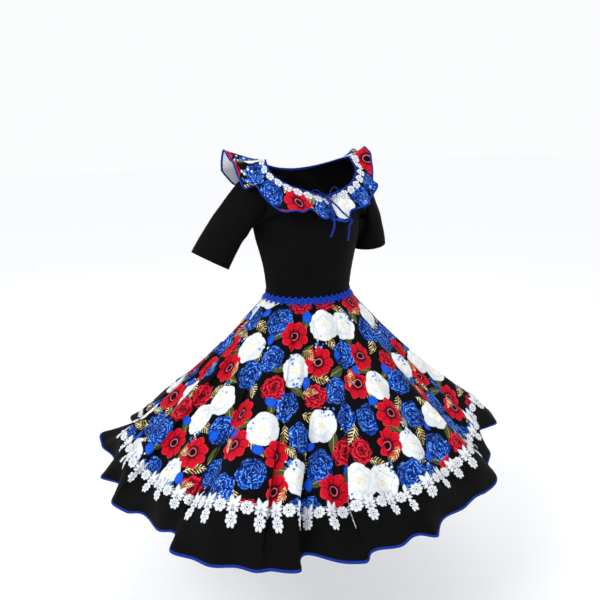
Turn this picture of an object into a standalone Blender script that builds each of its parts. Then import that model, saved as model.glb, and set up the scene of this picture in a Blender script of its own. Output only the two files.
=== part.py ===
"""A huasa dress for an adult, worn shape with nobody in it: black bodice with elbow sleeves, a print frill
round the neck, a wide flared print skirt, white guipure edging and a black flounce bound in blue.

Units are metres. +Z is up, -Y is the wearer's front and +X the wearer's left. The origin lies midway
between the shoulders, at the height of the inner ends of the shoulder seams, where the dress hangs.
"""

import math

import bmesh
import bpy
import numpy as np
from mathutils import Vector
from mathutils.bvhtree import BVHTree

# Cloth and trimming walls
CLOTH = 0.0015
BINDING = 0.0027
LACE = 0.0014
SEAM_DRAW = 0.00025
SLEEVE_GAP = 0.0007
MITRE = 1.2
MITRE_LEAN = 1.3
BINDING_GAP = 0.0008
LAID_ON = 0.0008
LACE_LAID_ON = 0.0018
SHARP_DEGREES = 50.0

# Bodice
WAIST_Z = -0.382
WAIST_HALF_WIDTH = 0.126
WAIST_FRONT = 0.100
WAIST_BACK = 0.090
NECK_HALF_WIDTH = 0.133
SHOULDER_TIP = (0.180, 0.0, -0.028)
UNDERARM = (0.170, 0.0, -0.178)
BUST_DEPTH = 0.014
BUST_X = 0.075
BUST_Z = -0.205
BUST_SPREAD = 0.050
NECK_SPANS = 6
SIDE_SPANS = 5
ACROSS_SPANS = 6
PANEL_ROUND = {"front": 0.012, "back": 0.012}

# Sleeves
SLEEVE_SPANS = 6
SLEEVE_HEAD = (0.185, 0.0, -0.060)

# Skirt and flounce
SKIRT_COLUMNS = 112
WAIST_SEAM = 0.0006
FLOUNCE_SEAM = 0.0007
SKIRT_SHARES = (0.0, 0.10, 0.36, 0.68, 1.0)
FLOUNCE_SHARES = (0.0, 0.45, 1.0)
LACE_RING_Z = -0.766
LACE_RING_RADIUS = 0.520
LACE_RING_CENTRE = (-0.035, -0.022)
HEM_RING_Z = -0.862
HEM_RING_RADIUS = 0.596
HEM_RING_CENTRE = (-0.008, 0.010)
SKIRT_LIFT = 0.020
FLOUNCE_LIFT = 0.024
LIFT_ANGLE = 75.0
SKIRT_SAG = 0.015
FLOUNCE_SWELL = 0.004
DROP_LIFT = 0.0012
HEM_BINDING_HEIGHT = 0.007

# Neck frill
FRILL_PER_SPAN = 4
FRILL_LIFT = 0.0009
FRILL_ROOT = 0.0012
FRILL_BINDING_HEIGHT = 0.005
NECK_BINDING_HEIGHT = 0.005
NECK_BINDING_GAP = 0.0008
NECK_LACE_HEIGHT = 0.017
NECK_LACE_LIFT = 0.0016
NECK_LACE_RIPPLE = 0.003
FRILL_SHARES = (0.0, 0.30, 0.65, 1.0)
FRILL_CLEAR = 0.003
CLEAR_REACH = 0.020

# Waist braid
BRAID_FLOWERS = 40
BRAID_HEIGHT = 0.022
BRAID_RIPPLE = 0.003
BRAID_SPREAD = 0.0024
BRAID_FLARE = 0.0135

# Ribbon tie
RIBBON_WIDTH = 0.006
RIBBON = 0.0010
KNOT_HALF = (0.0040, 0.0034, 0.0046)
KNOT_UNDER = 2.15
KNOT_OUT = 0.0088
KNOT_BELOW = 0.004
BOW_FALL = (0.0, -0.45, -0.89)
LOOP_SPANS = 9
TAIL_SPANS = 6
TAIL_CLEAR = 0.0055

CENTRE_LINES = {
    # panel: rows of (y, z) up the middle of the panel, waist to neck
    "front": (
        (-0.100, -0.382),
        (-0.106, -0.320),
        (-0.118, -0.250),
        (-0.125, -0.190),
        (-0.121, -0.140),
        (-0.110, -0.096),
    ),
    "back": (
        (0.090, -0.382),
        (0.090, -0.320),
        (0.097, -0.240),
        (0.105, -0.160),
        (0.106, -0.100),
        (0.098, -0.040),
    ),
}

SIDE_SEAM = (
    # x, y, z up the side, waist to underarm
    (0.126, 0.000, -0.382),
    (0.133, 0.000, -0.330),
    (0.149, 0.000, -0.260),
    (0.163, 0.000, -0.212),
    UNDERARM,
)

ARMHOLES = {
    # panel: rows of (x, y, z), underarm to shoulder tip
    "front": (
        UNDERARM,
        (0.164, -0.040, -0.158),
        (0.152, -0.060, -0.110),
        (0.158, -0.052, -0.065),
        SHOULDER_TIP,
    ),
    "back": (
        UNDERARM,
        (0.165, 0.042, -0.155),
        (0.159, 0.064, -0.110),
        (0.165, 0.055, -0.062),
        SHOULDER_TIP,
    ),
}

NECKLINES = {
    # panel: rows of (x, y, z), middle of the panel to the shoulder
    "front": (
        (0.000, -0.112, -0.092),
        (0.055, -0.104, -0.079),
        (0.107, -0.075, -0.057),
        (0.135, -0.035, -0.028),
        (NECK_HALF_WIDTH, 0.0, 0.0),
    ),
    "back": (
        (0.000, 0.098, -0.040),
        (0.050, 0.093, -0.035),
        (0.094, 0.073, -0.023),
        (0.122, 0.038, -0.009),
        (NECK_HALF_WIDTH, 0.0, 0.0),
    ),
}

SLEEVES = {
    # sleeve: side of the wearer, cuff centre, cuff radius, way out of the armhole (sideways, down)
    "sleeve_right": (-1, (-0.297, -0.005, -0.262), 0.056, (0.76, -0.58)),
    "sleeve_left": (1, (0.212, 0.022, -0.262), 0.054, (0.40, -0.86)),
}

SKIRT_FOLDS = (
    # degrees round from the front, metres out and up from the ring at the lace: ridges and valleys in turn
    (-176, 0.018, 0.000),
    (-163, -0.022, 0.000),
    (-151, 0.012, -0.004),
    (-139, -0.028, -0.004),
    (-129, -0.004, -0.008),
    (-117, -0.030, -0.004),
    (-105, 0.008, 0.000),
    (-97, -0.022, 0.002),
    (-87, 0.008, 0.008),
    (-76, -0.026, 0.004),
    (-64, 0.006, 0.000),
    (-56, -0.008, 0.000),
    (-46, 0.036, 0.000),
    (-39, 0.040, 0.000),
    (-34, 0.016, 0.000),
    (-28, 0.034, 0.000),
    (-24, -0.022, 0.000),
    (-19, 0.006, 0.000),
    (-15, -0.014, 0.000),
    (-9, 0.012, 0.002),
    (-5, 0.004, 0.002),
    (2, -0.022, 0.000),
    (12, 0.010, 0.006),
    (22, -0.024, 0.008),
    (33, 0.006, 0.004),
    (46, -0.024, 0.000),
    (57, 0.004, -0.010),
    (63, -0.010, -0.010),
    (72, 0.034, -0.012),
    (80, 0.024, -0.006),
    (93, -0.020, 0.000),
    (106, 0.022, 0.000),
    (119, -0.022, 0.000),
    (132, 0.022, 0.000),
    (145, -0.024, 0.000),
    (158, 0.020, 0.000),
    (171, -0.018, 0.000),
)

FLOUNCE_WAVES = (
    # degrees round from the front, metres out and up from the hem ring, degrees moved along
    (-177, 0.026, 0.004, 0.0),
    (-170, -0.030, 0.000, -1.0),
    (-163, 0.022, 0.004, 0.5),
    (-156, -0.026, 0.000, 0.0),
    (-149, 0.030, 0.006, 1.5),
    (-143, -0.028, 0.000, -1.5),
    (-135, 0.024, 0.004, 0.0),
    (-127, -0.028, 0.002, -0.5),
    (-117, 0.040, 0.034, 1.0),
    (-110, 0.024, 0.026, 0.0),
    (-106, -0.030, 0.010, -1.0),
    (-98, 0.020, 0.000, 0.5),
    (-91, -0.034, 0.000, -1.0),
    (-83, 0.012, 0.000, 0.0),
    (-78, 0.004, 0.000, 1.0),
    (-72, -0.036, 0.004, -1.0),
    (-65, -0.006, -0.004, 0.5),
    (-60, -0.036, 0.002, -0.5),
    (-54, 0.046, 0.000, -1.0),
    (-50, 0.028, 0.000, 0.0),
    (-45, 0.048, -0.002, 0.0),
    (-40, 0.028, 0.000, 0.0),
    (-36, 0.048, 0.002, 0.0),
    (-33, 0.030, 0.000, 1.0),
    (-29, 0.050, 0.002, 3.4),
    (-26, 0.004, 0.002, -0.8),
    (-23, -0.038, 0.002, -2.0),
    (-18, 0.018, 0.000, 0.5),
    (-13, 0.026, -0.002, 0.5),
    (-8, -0.014, 0.004, -1.0),
    (-3, 0.014, 0.000, 1.0),
    (1, -0.028, 0.002, 0.0),
    (6, 0.014, 0.000, 0.5),
    (13, -0.036, 0.000, 0.0),
    (20, -0.012, 0.004, 0.5),
    (24, -0.026, 0.002, 0.0),
    (35, 0.004, -0.002, 0.5),
    (44, -0.036, 0.000, 0.0),
    (50, -0.030, 0.004, 0.0),
    (56, -0.060, 0.002, 0.0),
    (64, -0.050, 0.002, 1.0),
    (72, 0.034, 0.008, -1.5),
    (80, 0.024, 0.008, 0.0),
    (90, -0.026, 0.000, 0.0),
    (99, 0.026, 0.004, 0.0),
    (106, -0.028, 0.000, -1.0),
    (114, 0.026, 0.004, 0.5),
    (122, -0.024, 0.000, 0.0),
    (129, 0.030, 0.006, 1.0),
    (136, -0.030, 0.000, -1.0),
    (144, 0.022, 0.004, 0.0),
    (152, -0.028, 0.000, 0.0),
    (160, 0.030, 0.006, 1.0),
    (167, -0.026, 0.000, -1.0),
    (175, 0.012, 0.002, 0.0),
)

LACE_REPEAT = (
    # flounce columns along the repeat, metres of band above and below the seam
    (0.0, 0.011, 0.010),
    (1.0, 0.015, 0.013),
    (2.0, 0.030, 0.014),
    (3.0, 0.015, 0.013),
)

LACE_DROP = (
    # flounce columns along the repeat, metres below the seam
    (1.45, 0.038),
    (2.0, 0.043),
    (2.55, 0.038),
)

FRILL = (
    # degrees round from the front, way out x y z, width
    (-180, 0.00, 0.55, -0.84, 0.085),
    (-145, -0.42, 0.52, -0.60, 0.090),
    (-124, -0.72, 0.46, -0.52, 0.104),
    (-112, -0.89, 0.30, -0.30, 0.110),
    (-98, -0.93, 0.14, 0.10, 0.107),
    (-89, -0.93, -0.22, -0.10, 0.096),
    (-79, -0.73, -0.30, -0.61, 0.095),
    (-70, -0.74, -0.44, -0.50, 0.062),
    (-61, -0.48, -0.52, -0.70, 0.078),
    (-46, -0.30, -0.55, -0.78, 0.090),
    (-32, -0.18, -0.60, -0.78, 0.072),
    (-20, -0.10, -0.62, -0.76, 0.044),
    (-11, -0.10, -0.46, -0.88, 0.074),
    (-2, 0.02, -0.44, -0.90, 0.054),
    (8, 0.08, -0.38, -0.92, 0.080),
    (21, 0.26, -0.38, -0.88, 0.054),
    (32, 0.40, -0.38, -0.83, 0.066),
    (50, 0.58, -0.34, -0.72, 0.060),
    (72, 0.66, -0.36, -0.62, 0.055),
    (84, 0.82, -0.20, -0.28, 0.051),
    (95, 0.72, 0.10, 0.22, 0.060),
    (115, 0.76, 0.42, -0.05, 0.088),
    (145, 0.42, 0.55, -0.65, 0.088),
)

FRILL_WAVES = (
    # degrees round from the front, share of the width that the edge stands out
    (-173, 0.42),
    (-158, -0.02),
    (-144, 0.40),
    (-131, 0.00),
    (-116, 0.16),
    (-106, 0.02),
    (-96, 0.22),
    (-88, 0.06),
    (-79, 0.12),
    (-69, 0.10),
    (-58, 0.08),
    (-38, 0.24),
    (-20, -0.02),
    (-10, 0.42),
    (-1, 0.00),
    (8, 0.46),
    (20, 0.00),
    (32, 0.38),
    (45, 0.02),
    (58, 0.36),
    (72, 0.02),
    (88, 0.24),
    (104, 0.04),
    (117, 0.36),
    (129, 0.00),
    (143, 0.42),
    (157, 0.00),
    (170, 0.34),
    (178, 0.02),
)

BOW_LOOPS = {
    # loop: rows of (x, rise) in the plane of the bow, from the knot round and back to it
    "bow_loop_right": (
        (-0.0046, 0.002),
        (-0.018, 0.015),
        (-0.033, 0.024),
        (-0.044, 0.021),
        (-0.040, 0.015),
        (-0.021, 0.007),
        (-0.0044, -0.003),
    ),
    "bow_loop_left": (
        (0.0046, 0.002),
        (0.012, 0.019),
        (0.023, 0.029),
        (0.032, 0.025),
        (0.030, 0.011),
        (0.018, 0.001),
        (0.0044, -0.003),
    ),
}

BOW_TAILS = {
    # tail: way across the ribbon, where it leaves the knot (x, fall), rows of (x, y, z) to its free end
    "bow_tail_right": (
        (1.0, -0.15, 0.0),
        (-0.0020, 0.0050),
        (
            (-0.001, -0.150, -0.120),
            (-0.003, -0.163, -0.142),
            (-0.007, -0.172, -0.165),
            (-0.016, -0.170, -0.192),
        ),
    ),
    "bow_tail_left": (
        (0.45, -1.0, 0.0),
        (0.0034, 0.0051),
        (
            (0.020, -0.151, -0.121),
            (0.033, -0.166, -0.146),
            (0.039, -0.171, -0.172),
            (0.040, -0.165, -0.206),
        ),
    ),
}

COLOURS = {
    # material: red, green, blue, roughness
    "crepe": (0.012, 0.012, 0.013, 0.80),
    "print": (0.10, 0.09, 0.20, 0.65),
    "guipure": (0.86, 0.87, 0.88, 0.75),
    "blue_bias": (0.020, 0.085, 0.50, 0.55),
    "blue_ribbon": (0.012, 0.055, 0.42, 0.40),
}


def clear_scene():
    """Removes all objects that the scene starts with."""
    for thing in list(bpy.data.objects):
        bpy.data.objects.remove(thing, do_unlink=True)


def material(name):
    """The Principled material of one cloth or trimming."""
    found = bpy.data.materials.get(name)
    if found:
        return found
    made = bpy.data.materials.new(name)
    made.use_nodes = True
    shader = made.node_tree.nodes["Principled BSDF"]
    red, green, blue, roughness = COLOURS[name]
    shader.inputs["Base Color"].default_value = (red, green, blue, 1.0)
    shader.inputs["Roughness"].default_value = roughness
    return made


def unit(vectors):
    """Vectors along the last axis, made one metre long."""
    vectors = np.asarray(vectors, float)
    return vectors / np.maximum(np.linalg.norm(vectors, axis=-1, keepdims=True), 1e-12)


def through(rows, shares):
    """A smooth curve through the rows' points, read at shares from 0 to 1 of its chord length."""
    rows = np.array(rows, float)
    steps = np.linalg.norm(np.diff(rows, axis=0), axis=1)
    knots = np.concatenate([[0.0], np.cumsum(steps)]) / steps.sum()
    tangents = np.gradient(rows, knots, axis=0)
    shares = np.clip(np.asarray(shares, float), 0.0, 1.0)
    low = np.clip(np.searchsorted(knots, shares, side="right") - 1, 0, len(knots) - 2)
    gap = (knots[low + 1] - knots[low])[:, None]
    t = ((shares - knots[low])[:, None]) / gap
    return (
        (2 * t**3 - 3 * t**2 + 1) * rows[low]
        + (t**3 - 2 * t**2 + t) * gap * tangents[low]
        + (3 * t**2 - 2 * t**3) * rows[low + 1]
        + (t**3 - t**2) * gap * tangents[low + 1]
    )


def round_table(rows, degrees):
    """Reads a table of (degrees, values...) round a full circle, easing between one row and the next."""
    rows = np.array(rows, float)
    angles = np.concatenate([rows[:, 0], [rows[0, 0] + 360.0]])
    values = np.concatenate([rows[:, 1:], rows[:1, 1:]])
    degrees = (np.asarray(degrees, float) - angles[0]) % 360.0 + angles[0]
    low = np.clip(np.searchsorted(angles, degrees, side="right") - 1, 0, len(angles) - 2)
    t = (degrees - angles[low]) / (angles[low + 1] - angles[low])
    ease = (1 - np.cos(math.pi * t))[..., None] / 2
    return values[low] * (1 - ease) + values[low + 1] * ease


def grid_normals(grid, closed):
    """Unit normals of a grid of points, rows by columns. closed says that the columns go all the way round."""
    if closed:
        along = np.roll(grid, -1, axis=1) - np.roll(grid, 1, axis=1)
    else:
        along = np.gradient(grid, axis=1)
    down = np.gradient(grid, axis=0)
    return unit(np.cross(down, along))


def add_object(name, points, faces, material_name):
    """Adds a closed body with its faces turned outwards, smooth but for its sharp edges."""
    mesh = bpy.data.meshes.new(name)
    mesh.from_pydata([tuple(p) for p in points], [], faces)
    mesh.materials.append(material(material_name))
    shell = bmesh.new()
    shell.from_mesh(mesh)
    bmesh.ops.recalc_face_normals(shell, faces=shell.faces)
    shell.to_mesh(mesh)
    shell.free()
    mesh.shade_smooth()
    mesh.set_sharp_from_angle(angle=math.radians(SHARP_DEGREES))
    made = bpy.data.objects.new(name, mesh)
    bpy.context.scene.collection.objects.link(made)
    return made


def shell(name, outer, inner, triangles, material_name):
    """A closed cloth wall between outer and inner points that share their triangles."""
    count = len(outer)
    sides = np.concatenate([triangles[:, [0, 1]], triangles[:, [1, 2]], triangles[:, [2, 0]]])
    edges = set(map(tuple, sides.tolist()))
    faces = triangles.tolist() + (triangles[:, ::-1] + count).tolist()
    for a, b in sorted(edges):
        if (b, a) not in edges:
            faces += [(a, a + count, b), (b, a + count, b + count)]
    return add_object(name, np.concatenate([outer, inner]), faces, material_name)


def corner_spots(spots):
    """The four corners of each cell of a grid of point numbers: two on its upper row, two on its lower."""
    upper, lower = spots[:-1], spots[1:]
    return upper[:, :-1].ravel(), upper[:, 1:].ravel(), lower[:, :-1].ravel(), lower[:, 1:].ravel()


def grid_triangles(grid, closed=True):
    """The points of a grid and its triangles. closed says that the columns go all the way round."""
    rows, columns = grid.shape[:2]
    spots = np.arange(rows * columns).reshape(rows, columns)
    if closed:
        spots = np.concatenate([spots, spots[:, :1]], axis=1)
    a, b, d, e = corner_spots(spots)
    triangles = np.concatenate([np.stack([a, d, b], axis=-1), np.stack([b, d, e], axis=-1)])
    return grid.reshape(-1, 3), triangles


def wall(name, outer, inner, material_name, closed=False):
    """A closed cloth wall between an outer and an inner grid of points.

    The rows run down the piece and the columns run anticlockwise seen from above, so that the
    outer grid faces out. closed says that the columns go all the way round.
    """
    points, triangles = grid_triangles(outer, closed)
    return shell(name, points, inner.reshape(-1, 3), triangles, material_name)


def panel_ends(grid, gap):
    """The grid with its first and last columns drawn in by gap, which leaves room for the seam."""
    grid = grid.copy()
    first = grid[:, 1] - grid[:, 0]
    last = grid[:, -2] - grid[:, -1]
    grid[:, 0] += first / np.linalg.norm(first, axis=-1, keepdims=True) * gap
    grid[:, -1] += last / np.linalg.norm(last, axis=-1, keepdims=True) * gap
    return grid


def mirrored(points):
    """The points on the wearer's other side."""
    return points * np.array([-1.0, 1.0, 1.0])


def finer(ring, parts):
    """A ring of points with parts - 1 more between each and the next."""
    rows = [ring * (1 - k / parts) + np.roll(ring, -1, axis=0) * (k / parts) for k in range(parts)]
    return np.stack(rows, axis=1).reshape(-1, 3)


def half_panel(side):
    """One half of a bodice panel, as rows from the waist up and columns from the middle out to the side.

    Its first column runs up the middle and on along the neck, its last one up the side seam and on along
    the armhole, and its last row is the shoulder seam.
    """
    facing = -1.0 if side == "front" else 1.0
    depth = WAIST_FRONT if side == "front" else WAIST_BACK
    turn = np.linspace(0.0, math.pi / 2, ACROSS_SPANS + 1)
    waist = np.full(ACROSS_SPANS + 1, WAIST_Z)
    bottom = np.stack([WAIST_HALF_WIDTH * np.sin(turn), facing * depth * np.cos(turn), waist], axis=-1)
    middle = through([(0.0, y, z) for y, z in CENTRE_LINES[side]], np.linspace(0, 1, SIDE_SPANS + 1))
    table = NECKLINES[side]
    whole_neck = [(-x, y, z) for x, y, z in table[:0:-1]] + list(table)
    neck = through(whole_neck, np.linspace(0.5, 1, NECK_SPANS + 1))
    seam = through(SIDE_SEAM, np.linspace(0, 1, SIDE_SPANS + 1))
    armhole = through(ARMHOLES[side], np.linspace(0, 1, NECK_SPANS + 1))
    centre = np.concatenate([middle, neck[1:]])
    outside = np.concatenate([seam, armhole[1:]])
    top = np.linspace(centre[-1], outside[-1], ACROSS_SPANS + 1)
    u = np.linspace(0, 1, ACROSS_SPANS + 1)[None, :, None]
    v = np.linspace(0, 1, len(centre))[:, None, None]
    grid = (
        (1 - v) * bottom[None]
        + v * top[None]
        + (1 - u) * centre[:, None]
        + u * outside[:, None]
        - (1 - u) * (1 - v) * bottom[0]
        - u * (1 - v) * bottom[-1]
        - (1 - u) * v * top[0]
        - u * v * top[-1]
    )
    across = np.sin(math.pi * u[..., 0])
    upward = np.sin(math.pi * np.minimum(v[..., 0] * 1.1, 1.0))
    roundness = PANEL_ROUND[side] * across * upward
    grid[..., 1] += facing * roundness
    grid[..., 0] += 0.5 * roundness
    if side == "front":
        away = ((grid[..., 0] - BUST_X) ** 2 + (grid[..., 2] - BUST_Z) ** 2) / (2 * BUST_SPREAD**2)
        grid[..., 1] -= BUST_DEPTH * np.exp(-away) * (1 - u[..., 0]) ** 0.5
    return grid


class Panel:
    """A bodice panel made of two mirrored halves that share their middle line below the neck."""

    def __init__(self, side):
        half = half_panel(side)
        rows, columns = half.shape[:2]
        own = np.arange(rows * columns).reshape(rows, columns)
        other = own + rows * columns
        other[: SIDE_SPANS + 1, 0] = own[: SIDE_SPANS + 1, 0]
        self.halves = {1: own, -1: other}
        self.outer = np.concatenate([half, mirrored(half)]).reshape(-1, 3)
        triangles = []
        for side_sign, spots in self.halves.items():
            a, b, d, e = corner_spots(spots)
            turned = (side_sign > 0) == (side == "front")
            pair = [(a, b, d), (b, e, d)] if turned else [(a, d, b), (b, d, e)]
            triangles += [np.stack(corner, axis=-1) for corner in pair]
        self.triangles = np.concatenate(triangles)
        self.normals = point_normals(self.outer, self.triangles)

    def neck(self, points, row=0):
        """Points along the neck, from the wearer's right round the middle to the left. row counts inwards."""
        right = points[self.halves[-1][SIDE_SPANS + 1 :, row]][::-1]
        left = points[self.halves[1][SIDE_SPANS + 1 :, row]]
        middle = points[self.halves[1][SIDE_SPANS - row, 0]]
        return np.concatenate([right, [middle], left])

    def drawn(self, points):
        """The points with side and shoulder seams drawn in by the seam's half gap."""
        drawn = points.copy()
        for spots in self.halves.values():
            inside, seam = spots[: SIDE_SPANS + 1, -2], spots[: SIDE_SPANS + 1, -1]
            drawn[seam] += unit(points[inside] - points[seam]) * SEAM_DRAW
            drawn[spots[-1]] += unit(points[spots[-2]] - points[spots[-1]]) * SEAM_DRAW
        return drawn


def point_normals(points, triangles):
    """Unit normals at the points, from the triangles round each."""
    corners = points[triangles]
    facing = np.cross(corners[:, 1] - corners[:, 0], corners[:, 2] - corners[:, 0])
    normals = np.zeros_like(points)
    for corner in range(3):
        np.add.at(normals, triangles[:, corner], facing)
    return unit(normals)


def armhole_loop(panels, values, side):
    """The armhole's points, from the underarm up the front to the shoulder and down the back."""
    front = values["front"][panels["front"].halves[side][SIDE_SPANS:, -1]]
    back = values["back"][panels["back"].halves[side][SIDE_SPANS:, -1]]
    return np.concatenate([front, back[-2:0:-1]])


def sleeve_surface(name, armhole):
    """A sleeve's outer points, from the armhole to the cuff. The first column is at the underarm."""
    side, cuff_centre, cuff_radius, (sideways, down) = SLEEVES[name]
    start = finer(armhole, 2)
    turn = np.linspace(0, 2 * math.pi, len(start), endpoint=False)
    cuff_centre = np.array(cuff_centre)
    axis = unit(cuff_centre - np.array(SLEEVE_HEAD) * [side, 1, 1])
    toward_front = unit(np.array([0.0, -1.0, 0.0]) + axis * axis[1])
    toward_body = unit(np.cross(axis, toward_front))
    if toward_body[0] * side > 0:
        toward_body = -toward_body
    cosine, sine = np.cos(turn)[:, None], np.sin(turn)[:, None]
    end = cuff_centre + cuff_radius * (cosine * toward_body + sine * toward_front)
    under = (1 + np.cos(turn)) / 2
    leaving = [side * (sideways + 0.4 * under), np.zeros(len(turn)), down - 0.1 * under]
    out = unit(np.stack(leaving, axis=-1))
    reach = np.linalg.norm(end - start, axis=-1, keepdims=True)
    rows = []
    for t in np.linspace(0, 1, SLEEVE_SPANS + 1):
        rows.append(
            (2 * t**3 - 3 * t**2 + 1) * start
            + (t**3 - 2 * t**2 + t) * out * reach * 0.75
            + (3 * t**2 - 2 * t**3) * end
            + (t**3 - t**2) * axis * reach * 0.9
        )
    return np.array(rows)


def body():
    """The bodice's panels and the sleeves, with their walls mitred where they meet.

    Returns the panels, their inner points and the sleeves' outer points.
    """
    panels = {side: Panel(side) for side in ("front", "back")}
    outer = {side: panel.outer for side, panel in panels.items()}
    facing = {side: panel.normals for side, panel in panels.items()}
    for side in (1, -1):
        front, back = panels["front"].halves[side], panels["back"].halves[side]
        side_seam = front[: SIDE_SPANS + 1, -1], back[: SIDE_SPANS + 1, -1]
        shoulder_seam = front[-1], back[-1]
        for spots, match in (side_seam, shoulder_seam):
            mean = unit(facing["front"][spots] + facing["back"][match])
            facing["front"][spots] = mean
            facing["back"][match] = mean
    inner = {side: outer[side] - facing[side] * CLOTH for side in outer}
    sleeves = {}
    for name, (side, *_) in SLEEVES.items():
        grid = sleeve_surface(name, armhole_loop(panels, outer, side))
        normals = grid_normals(grid[:, ::side], True)[:, ::side]
        mitre = unit(armhole_loop(panels, facing, side) * MITRE_LEAN + normals[0, ::2])
        rim = armhole_loop(panels, outer, side) - mitre * CLOTH * MITRE
        front = panels["front"].halves[side][SIDE_SPANS:, -1]
        back = panels["back"].halves[side][SIDE_SPANS:, -1]
        inner["front"][front] = rim[: NECK_SPANS + 1]
        inner["back"][back] = np.concatenate([rim[NECK_SPANS:], rim[:1]])[::-1]
        inside = grid - normals * CLOTH
        inside[0] = finer(rim, 2)
        away = np.array([side * SLEEVE_GAP, 0.0, 0.0])
        sewn, sewn_inside = grid.copy(), inside.copy()
        sewn[0] += away
        sewn_inside[0] += away
        wall(name, sewn, sewn_inside, "crepe", closed=True)
        sleeves[name] = grid[:, ::side]
    for side, panel in panels.items():
        points, inside = panel.drawn(outer[side]), panel.drawn(inner[side])
        shell(f"bodice_{side}", points, inside, panel.triangles, "crepe")
    return panels, inner, sleeves


def skirt_angles(columns):
    """Degrees round from the middle of the front, starting at the middle of the back."""
    return np.linspace(-180.0, 180.0, columns, endpoint=False)


def ring_point(degrees, centre, half_width, half_depth, height):
    """Points of a level oval ring round the wearer."""
    turn = np.radians(degrees)
    x = centre[0] + half_width * np.sin(turn)
    y = centre[1] - half_depth * np.cos(turn)
    return np.stack([x, y, np.broadcast_to(height, turn.shape)], axis=-1)


def lift(degrees, height):
    """How far a ring of the skirt rises towards the wearer's left."""
    return height * np.cos(np.radians(degrees - LIFT_ANGLE))


def skirt_surface(degrees, shares):
    """The skirt's outer points: rows of shares of its length below the waist, by columns of degrees."""
    degrees = np.asarray(degrees, float)
    depth = np.where(np.cos(np.radians(degrees)) > 0, WAIST_FRONT, WAIST_BACK)
    waist = ring_point(degrees, (0.0, 0.0), WAIST_HALF_WIDTH, depth, WAIST_Z - WAIST_SEAM)
    lace = ring_point(degrees, LACE_RING_CENTRE, LACE_RING_RADIUS, LACE_RING_RADIUS, LACE_RING_Z)
    out, up = round_table(SKIRT_FOLDS, degrees).T
    lace[:, 2] += lift(degrees, SKIRT_LIFT) + up
    turn = np.radians(degrees)
    sideways = np.stack([np.cos(turn), np.sin(turn), np.zeros_like(turn)], axis=-1)
    normal = unit(np.cross(unit(lace - waist), sideways))
    grid = []
    for s in shares:
        move = out * s**1.15 - SKIRT_SAG * math.sin(math.pi * s)
        grid.append(waist * (1 - s) + lace * s + normal * move[:, None])
    return np.array(grid)


def flounce_surface(degrees, seam, shares):
    """The flounce's outer points, from the skirt's seam down to the hem."""
    out, up, along = round_table(FLOUNCE_WAVES, degrees).T
    moved = degrees + along
    turn = np.radians(moved)
    hem = ring_point(moved, HEM_RING_CENTRE, HEM_RING_RADIUS + out, HEM_RING_RADIUS + out, HEM_RING_Z)
    hem[:, 2] += lift(moved, FLOUNCE_LIFT) + up
    outward = np.stack([np.sin(turn), -np.cos(turn), np.full_like(turn, 0.6)], axis=-1)
    grid = []
    for s in shares:
        bend = s * s * 0.40 + s * 0.60
        swell = unit(outward) * FLOUNCE_SWELL * math.sin(math.pi * s)
        grid.append(seam * (1 - bend) + hem * bend + swell)
    return np.array(grid)


def half_columns(rows):
    """Rows of points round a ring with one more point midway between each and the next."""
    between = (rows + np.roll(rows, -1, axis=-2)) / 2
    return np.stack([rows, between], axis=-2).reshape(*rows.shape[:-2], -1, 3)


def two_halves(name, outer, inner, material_name):
    """A ring of cloth as a front and a back piece, with seams at the wearer's sides."""
    columns = outer.shape[1]
    quarter = columns // 4
    front = np.arange(quarter, 3 * quarter + 1)
    back = np.arange(3 * quarter, 5 * quarter + 1) % columns
    for side, picked in (("front", front), ("back", back)):
        cut = panel_ends(outer[:, picked], SEAM_DRAW)
        cut_inside = panel_ends(inner[:, picked], SEAM_DRAW)
        wall(f"{name}_{side}", cut, cut_inside, material_name)


def skirt_and_flounce():
    """The print skirt, its black flounce and the flounce's blue binding. Returns what the lace is laid on."""
    skirt = skirt_surface(skirt_angles(SKIRT_COLUMNS), SKIRT_SHARES)
    seam = half_columns(skirt[-1])
    flounce = flounce_surface(skirt_angles(2 * SKIRT_COLUMNS), seam, FLOUNCE_SHARES)
    skirt_out = grid_normals(skirt, True)
    flounce_out = grid_normals(flounce, True)
    skirt_out[-1] = unit(skirt_out[-1] + flounce_out[0, ::2])
    skirt_inside = skirt - skirt_out * CLOTH
    flounce_inside = flounce - flounce_out * CLOTH
    flounce_inside[0] = half_columns(skirt_inside[-1])
    two_halves("skirt", skirt, skirt_inside, "print")
    cloth, cloth_inside = flounce.copy(), flounce_inside.copy()
    cloth[0, :, 2] -= FLOUNCE_SEAM
    cloth_inside[0, :, 2] -= FLOUNCE_SEAM
    two_halves("flounce", cloth, cloth_inside, "crepe")
    fall = unit(flounce[-1] - flounce[-2])
    middle = (flounce[-1] + flounce_inside[-1]) / 2 + fall * BINDING_GAP
    out = flounce_out[-1] * BINDING / 2
    outer = np.array([middle + out, middle + fall * HEM_BINDING_HEIGHT + out])
    inner = np.array([middle - out, middle + fall * HEM_BINDING_HEIGHT - out])
    wall("hem_binding", outer, inner, "blue_bias", closed=True)
    return skirt, skirt_out, flounce, flounce_out


def on_skirt(surfaces, column, below):
    """A point on the skirt or flounce, and the normal there.

    column counts the flounce's columns and below is in metres under the seam.
    """
    skirt, skirt_out, flounce, flounce_out = surfaces
    columns = flounce.shape[1]
    if below <= 0:
        grid = half_columns(skirt[-2:])
        normals = half_columns(skirt_out[-2:])
        down = 1 + below / np.linalg.norm(skirt[-1] - skirt[-2], axis=-1).mean()
    else:
        grid = flounce[:2]
        normals = flounce_out[:2]
        down = below / np.linalg.norm(flounce[1] - flounce[0], axis=-1).mean()
    low = int(math.floor(column))
    share = column - low

    def mix(source):
        line = source[:, low % columns] * (1 - share) + source[:, (low + 1) % columns] * share
        return line[0] * (1 - down) + line[1] * down

    return mix(grid), unit(mix(normals))


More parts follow.
